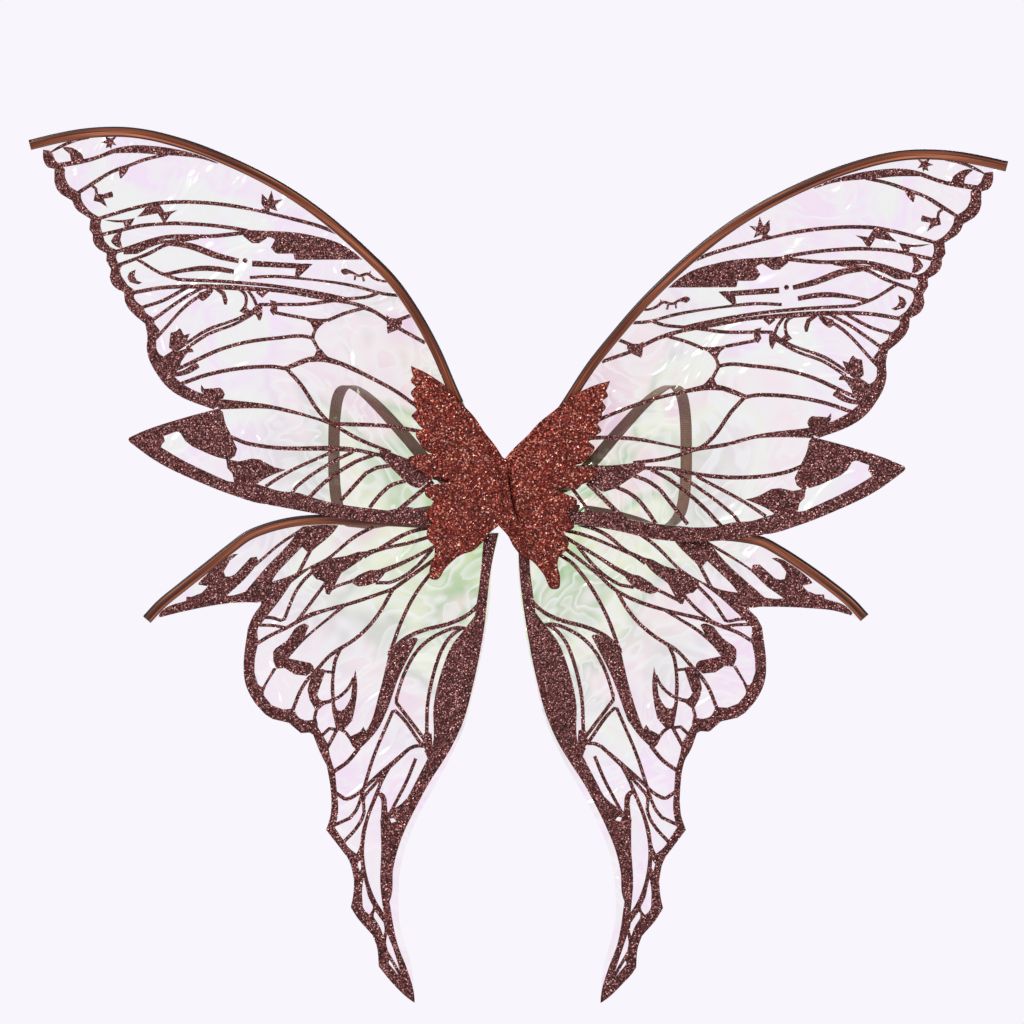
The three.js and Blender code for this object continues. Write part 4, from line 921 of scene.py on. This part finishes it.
def arm_loop(half):
    """One elastic arm loop, riveted at both ends between the lining and the board."""
    knots = np.array(STRAP_ROUTE)
    chord = np.concatenate([[0], np.cumsum(np.linalg.norm(np.diff(knots[:, :3], axis=0), axis=1))])
    gap = np.diff(chord)[:, None]
    where = np.linspace(0, chord[-1], int(chord[-1] / STRAP_STEP))
    i = np.clip(np.searchsorted(chord, where, side="right") - 1, 0, len(gap) - 1)
    line = smooth_between(knots, gap, i, ((where - chord[i]) / gap[i, 0])[:, None])
    route = line[:, :3] * MM
    angle = np.radians(line[:, 3])
    along = np.gradient(route, axis=0)
    along /= np.linalg.norm(along, axis=1)[:, None]
    facing = np.stack([0 * angle, -np.cos(angle), np.sin(angle)], 1)
    across = np.cross(along, facing)
    across /= np.linalg.norm(across, axis=1)[:, None]
    points, faces, uvs = sweep_mesh(route, across, np.cross(across, along), strap_section())
    if half.sign < 0:
        points = points * (-1, 1, 1)
        faces = reversed_faces(faces)
    strap = mesh_object(f"{half.name}_arm_loop", points, faces, ELASTIC, uvs)
    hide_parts(f"{half.name}_strap")
    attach(strap, "harness")


def upright(points):
    """How far out, up and toward the wearer points of the row frame lie in the lining's plane."""
    return points[:, 0], points[:, 2], points[:, 1]


def lining():
    """The felt lining against the wearer: a thin pad, soft at its edge, with a sewn line round it."""
    low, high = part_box("back_lining")
    outlines = outer_face_loops("back_lining", upright)
    loops = [rounded_loop(loop, FELT_STEP, sharp=FELT_CORNER) for loop in outlines]
    flat, faces = fill(loops, FELT_GRID)
    edge = distance_to_edge(flat, max(loops, key=len))
    drop = FELT_DROP * (1 - ramp(edge, *RIM_REACH)) + STITCH_DEPTH * bell(edge - STITCH_INSET, STITCH_WIDTH)
    x, z = flat[:, 0] * MM, flat[:, 1] * MM
    wearer = np.stack([x, high.y - drop, z], 1)
    back = np.stack([x, low.y + 0 * drop, z], 1)
    pad = mesh_object("felt_lining", *slab(back, wearer, faces), FELT)
    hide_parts("back_lining")
    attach(pad, "harness")


def cad_finishes():
    """Materials and softened edges for the rigid CAD pieces that stay."""
    finishes = {"board": BOARD, "clip": NYLON, "block": NYLON, "wire": STEEL, "rivet": COPPER}
    for name, node in frame["nodes"].items():
        kind = name.rsplit("_", 1)[-1]
        if kind in finishes:
            node.data.materials.clear()
            node.data.materials.append(finishes[kind])
            if kind != "wire":
                edge = node.modifiers.new("soft_edge", "BEVEL")
                edge.width = SOFT_EDGE
                edge.segments = 2


# ---------------------------------------------------------------- stage, light and camera
def area_light(name, place, size, power, colour=(1, 1, 1)):
    """A square lamp that faces the middle of the object."""
    data = bpy.data.lights.new(name, "AREA")
    data.size = size
    data.energy = power
    data.color = colour
    lamp = bpy.data.objects.new(name, data)
    lamp.location = place
    lamp.rotation_euler = (-Vector(place)).to_track_quat("-Z", "Y").to_euler()
    bpy.context.scene.collection.objects.link(lamp)


def studio():
    """A pale backdrop that the camera sees brighter than the object does, and three lamps."""
    world = bpy.data.worlds.new("studio")
    bpy.context.scene.world = world
    world.use_nodes = True
    background = world.node_tree.nodes["Background"]
    background.inputs["Color"].default_value = BACKDROP
    path = add_node(world, "ShaderNodeLightPath")
    strength = add_node(world, "ShaderNodeMapRange", {
        "Value": path.outputs["Is Camera Ray"], "To Min": ROOM_LIGHT, "To Max": BACKDROP_LIGHT,
    })
    join(world, strength.outputs["Result"], background.inputs["Strength"])
    bpy.context.scene.view_settings.view_transform = "Standard"
    area_light("key", (-1.7, -2.0, 2.1), 0.7, 85, (1, 0.985, 0.96))
    area_light("fill", (2.4, -1.8, 0.5), 1.2, 26)
    area_light("back", (0.4, 2.2, 1.6), 1.2, 30)


def floor():
    """A wide pale disc below the object."""
    level = cad_box[0].z - FLOOR_DROP
    turns = 2 * math.pi * np.arange(FLOOR_SIDES) / FLOOR_SIDES
    points = [(FLOOR_RADIUS * math.cos(a), FLOOR_RADIUS * math.sin(a), level) for a in turns]
    faces = [tuple(range(FLOOR_SIDES))]
    mesh_object("pale_floor", points, faces, PALE)


def camera():
    """A camera level with the object, straight in front of it."""
    data = bpy.data.cameras.new("camera")
    data.lens = CAMERA_LENS
    data.sensor_width = CAMERA_SENSOR
    view = bpy.data.objects.new("camera", data)
    view.location = CAMERA_PLACE
    view.rotation_euler = (math.radians(90), 0, 0)
    bpy.context.scene.collection.objects.link(view)
    bpy.context.scene.camera = view


camera()
studio()
floor()
for half_wing in HALVES:
    for wing_name, spar_points in (("upper", UPPER_SPAR), ("lower", LOWER_SPAR)):
        placed_spar = half_wing.place(wing_name, spar_points)
        wing_film(half_wing, wing_name, placed_spar)
        wing_glitter(half_wing, wing_name, placed_spar)
        binding(half_wing, wing_name, placed_spar)
    arm_loop(half_wing)
glitter_cover()
lining()
cad_finishes()
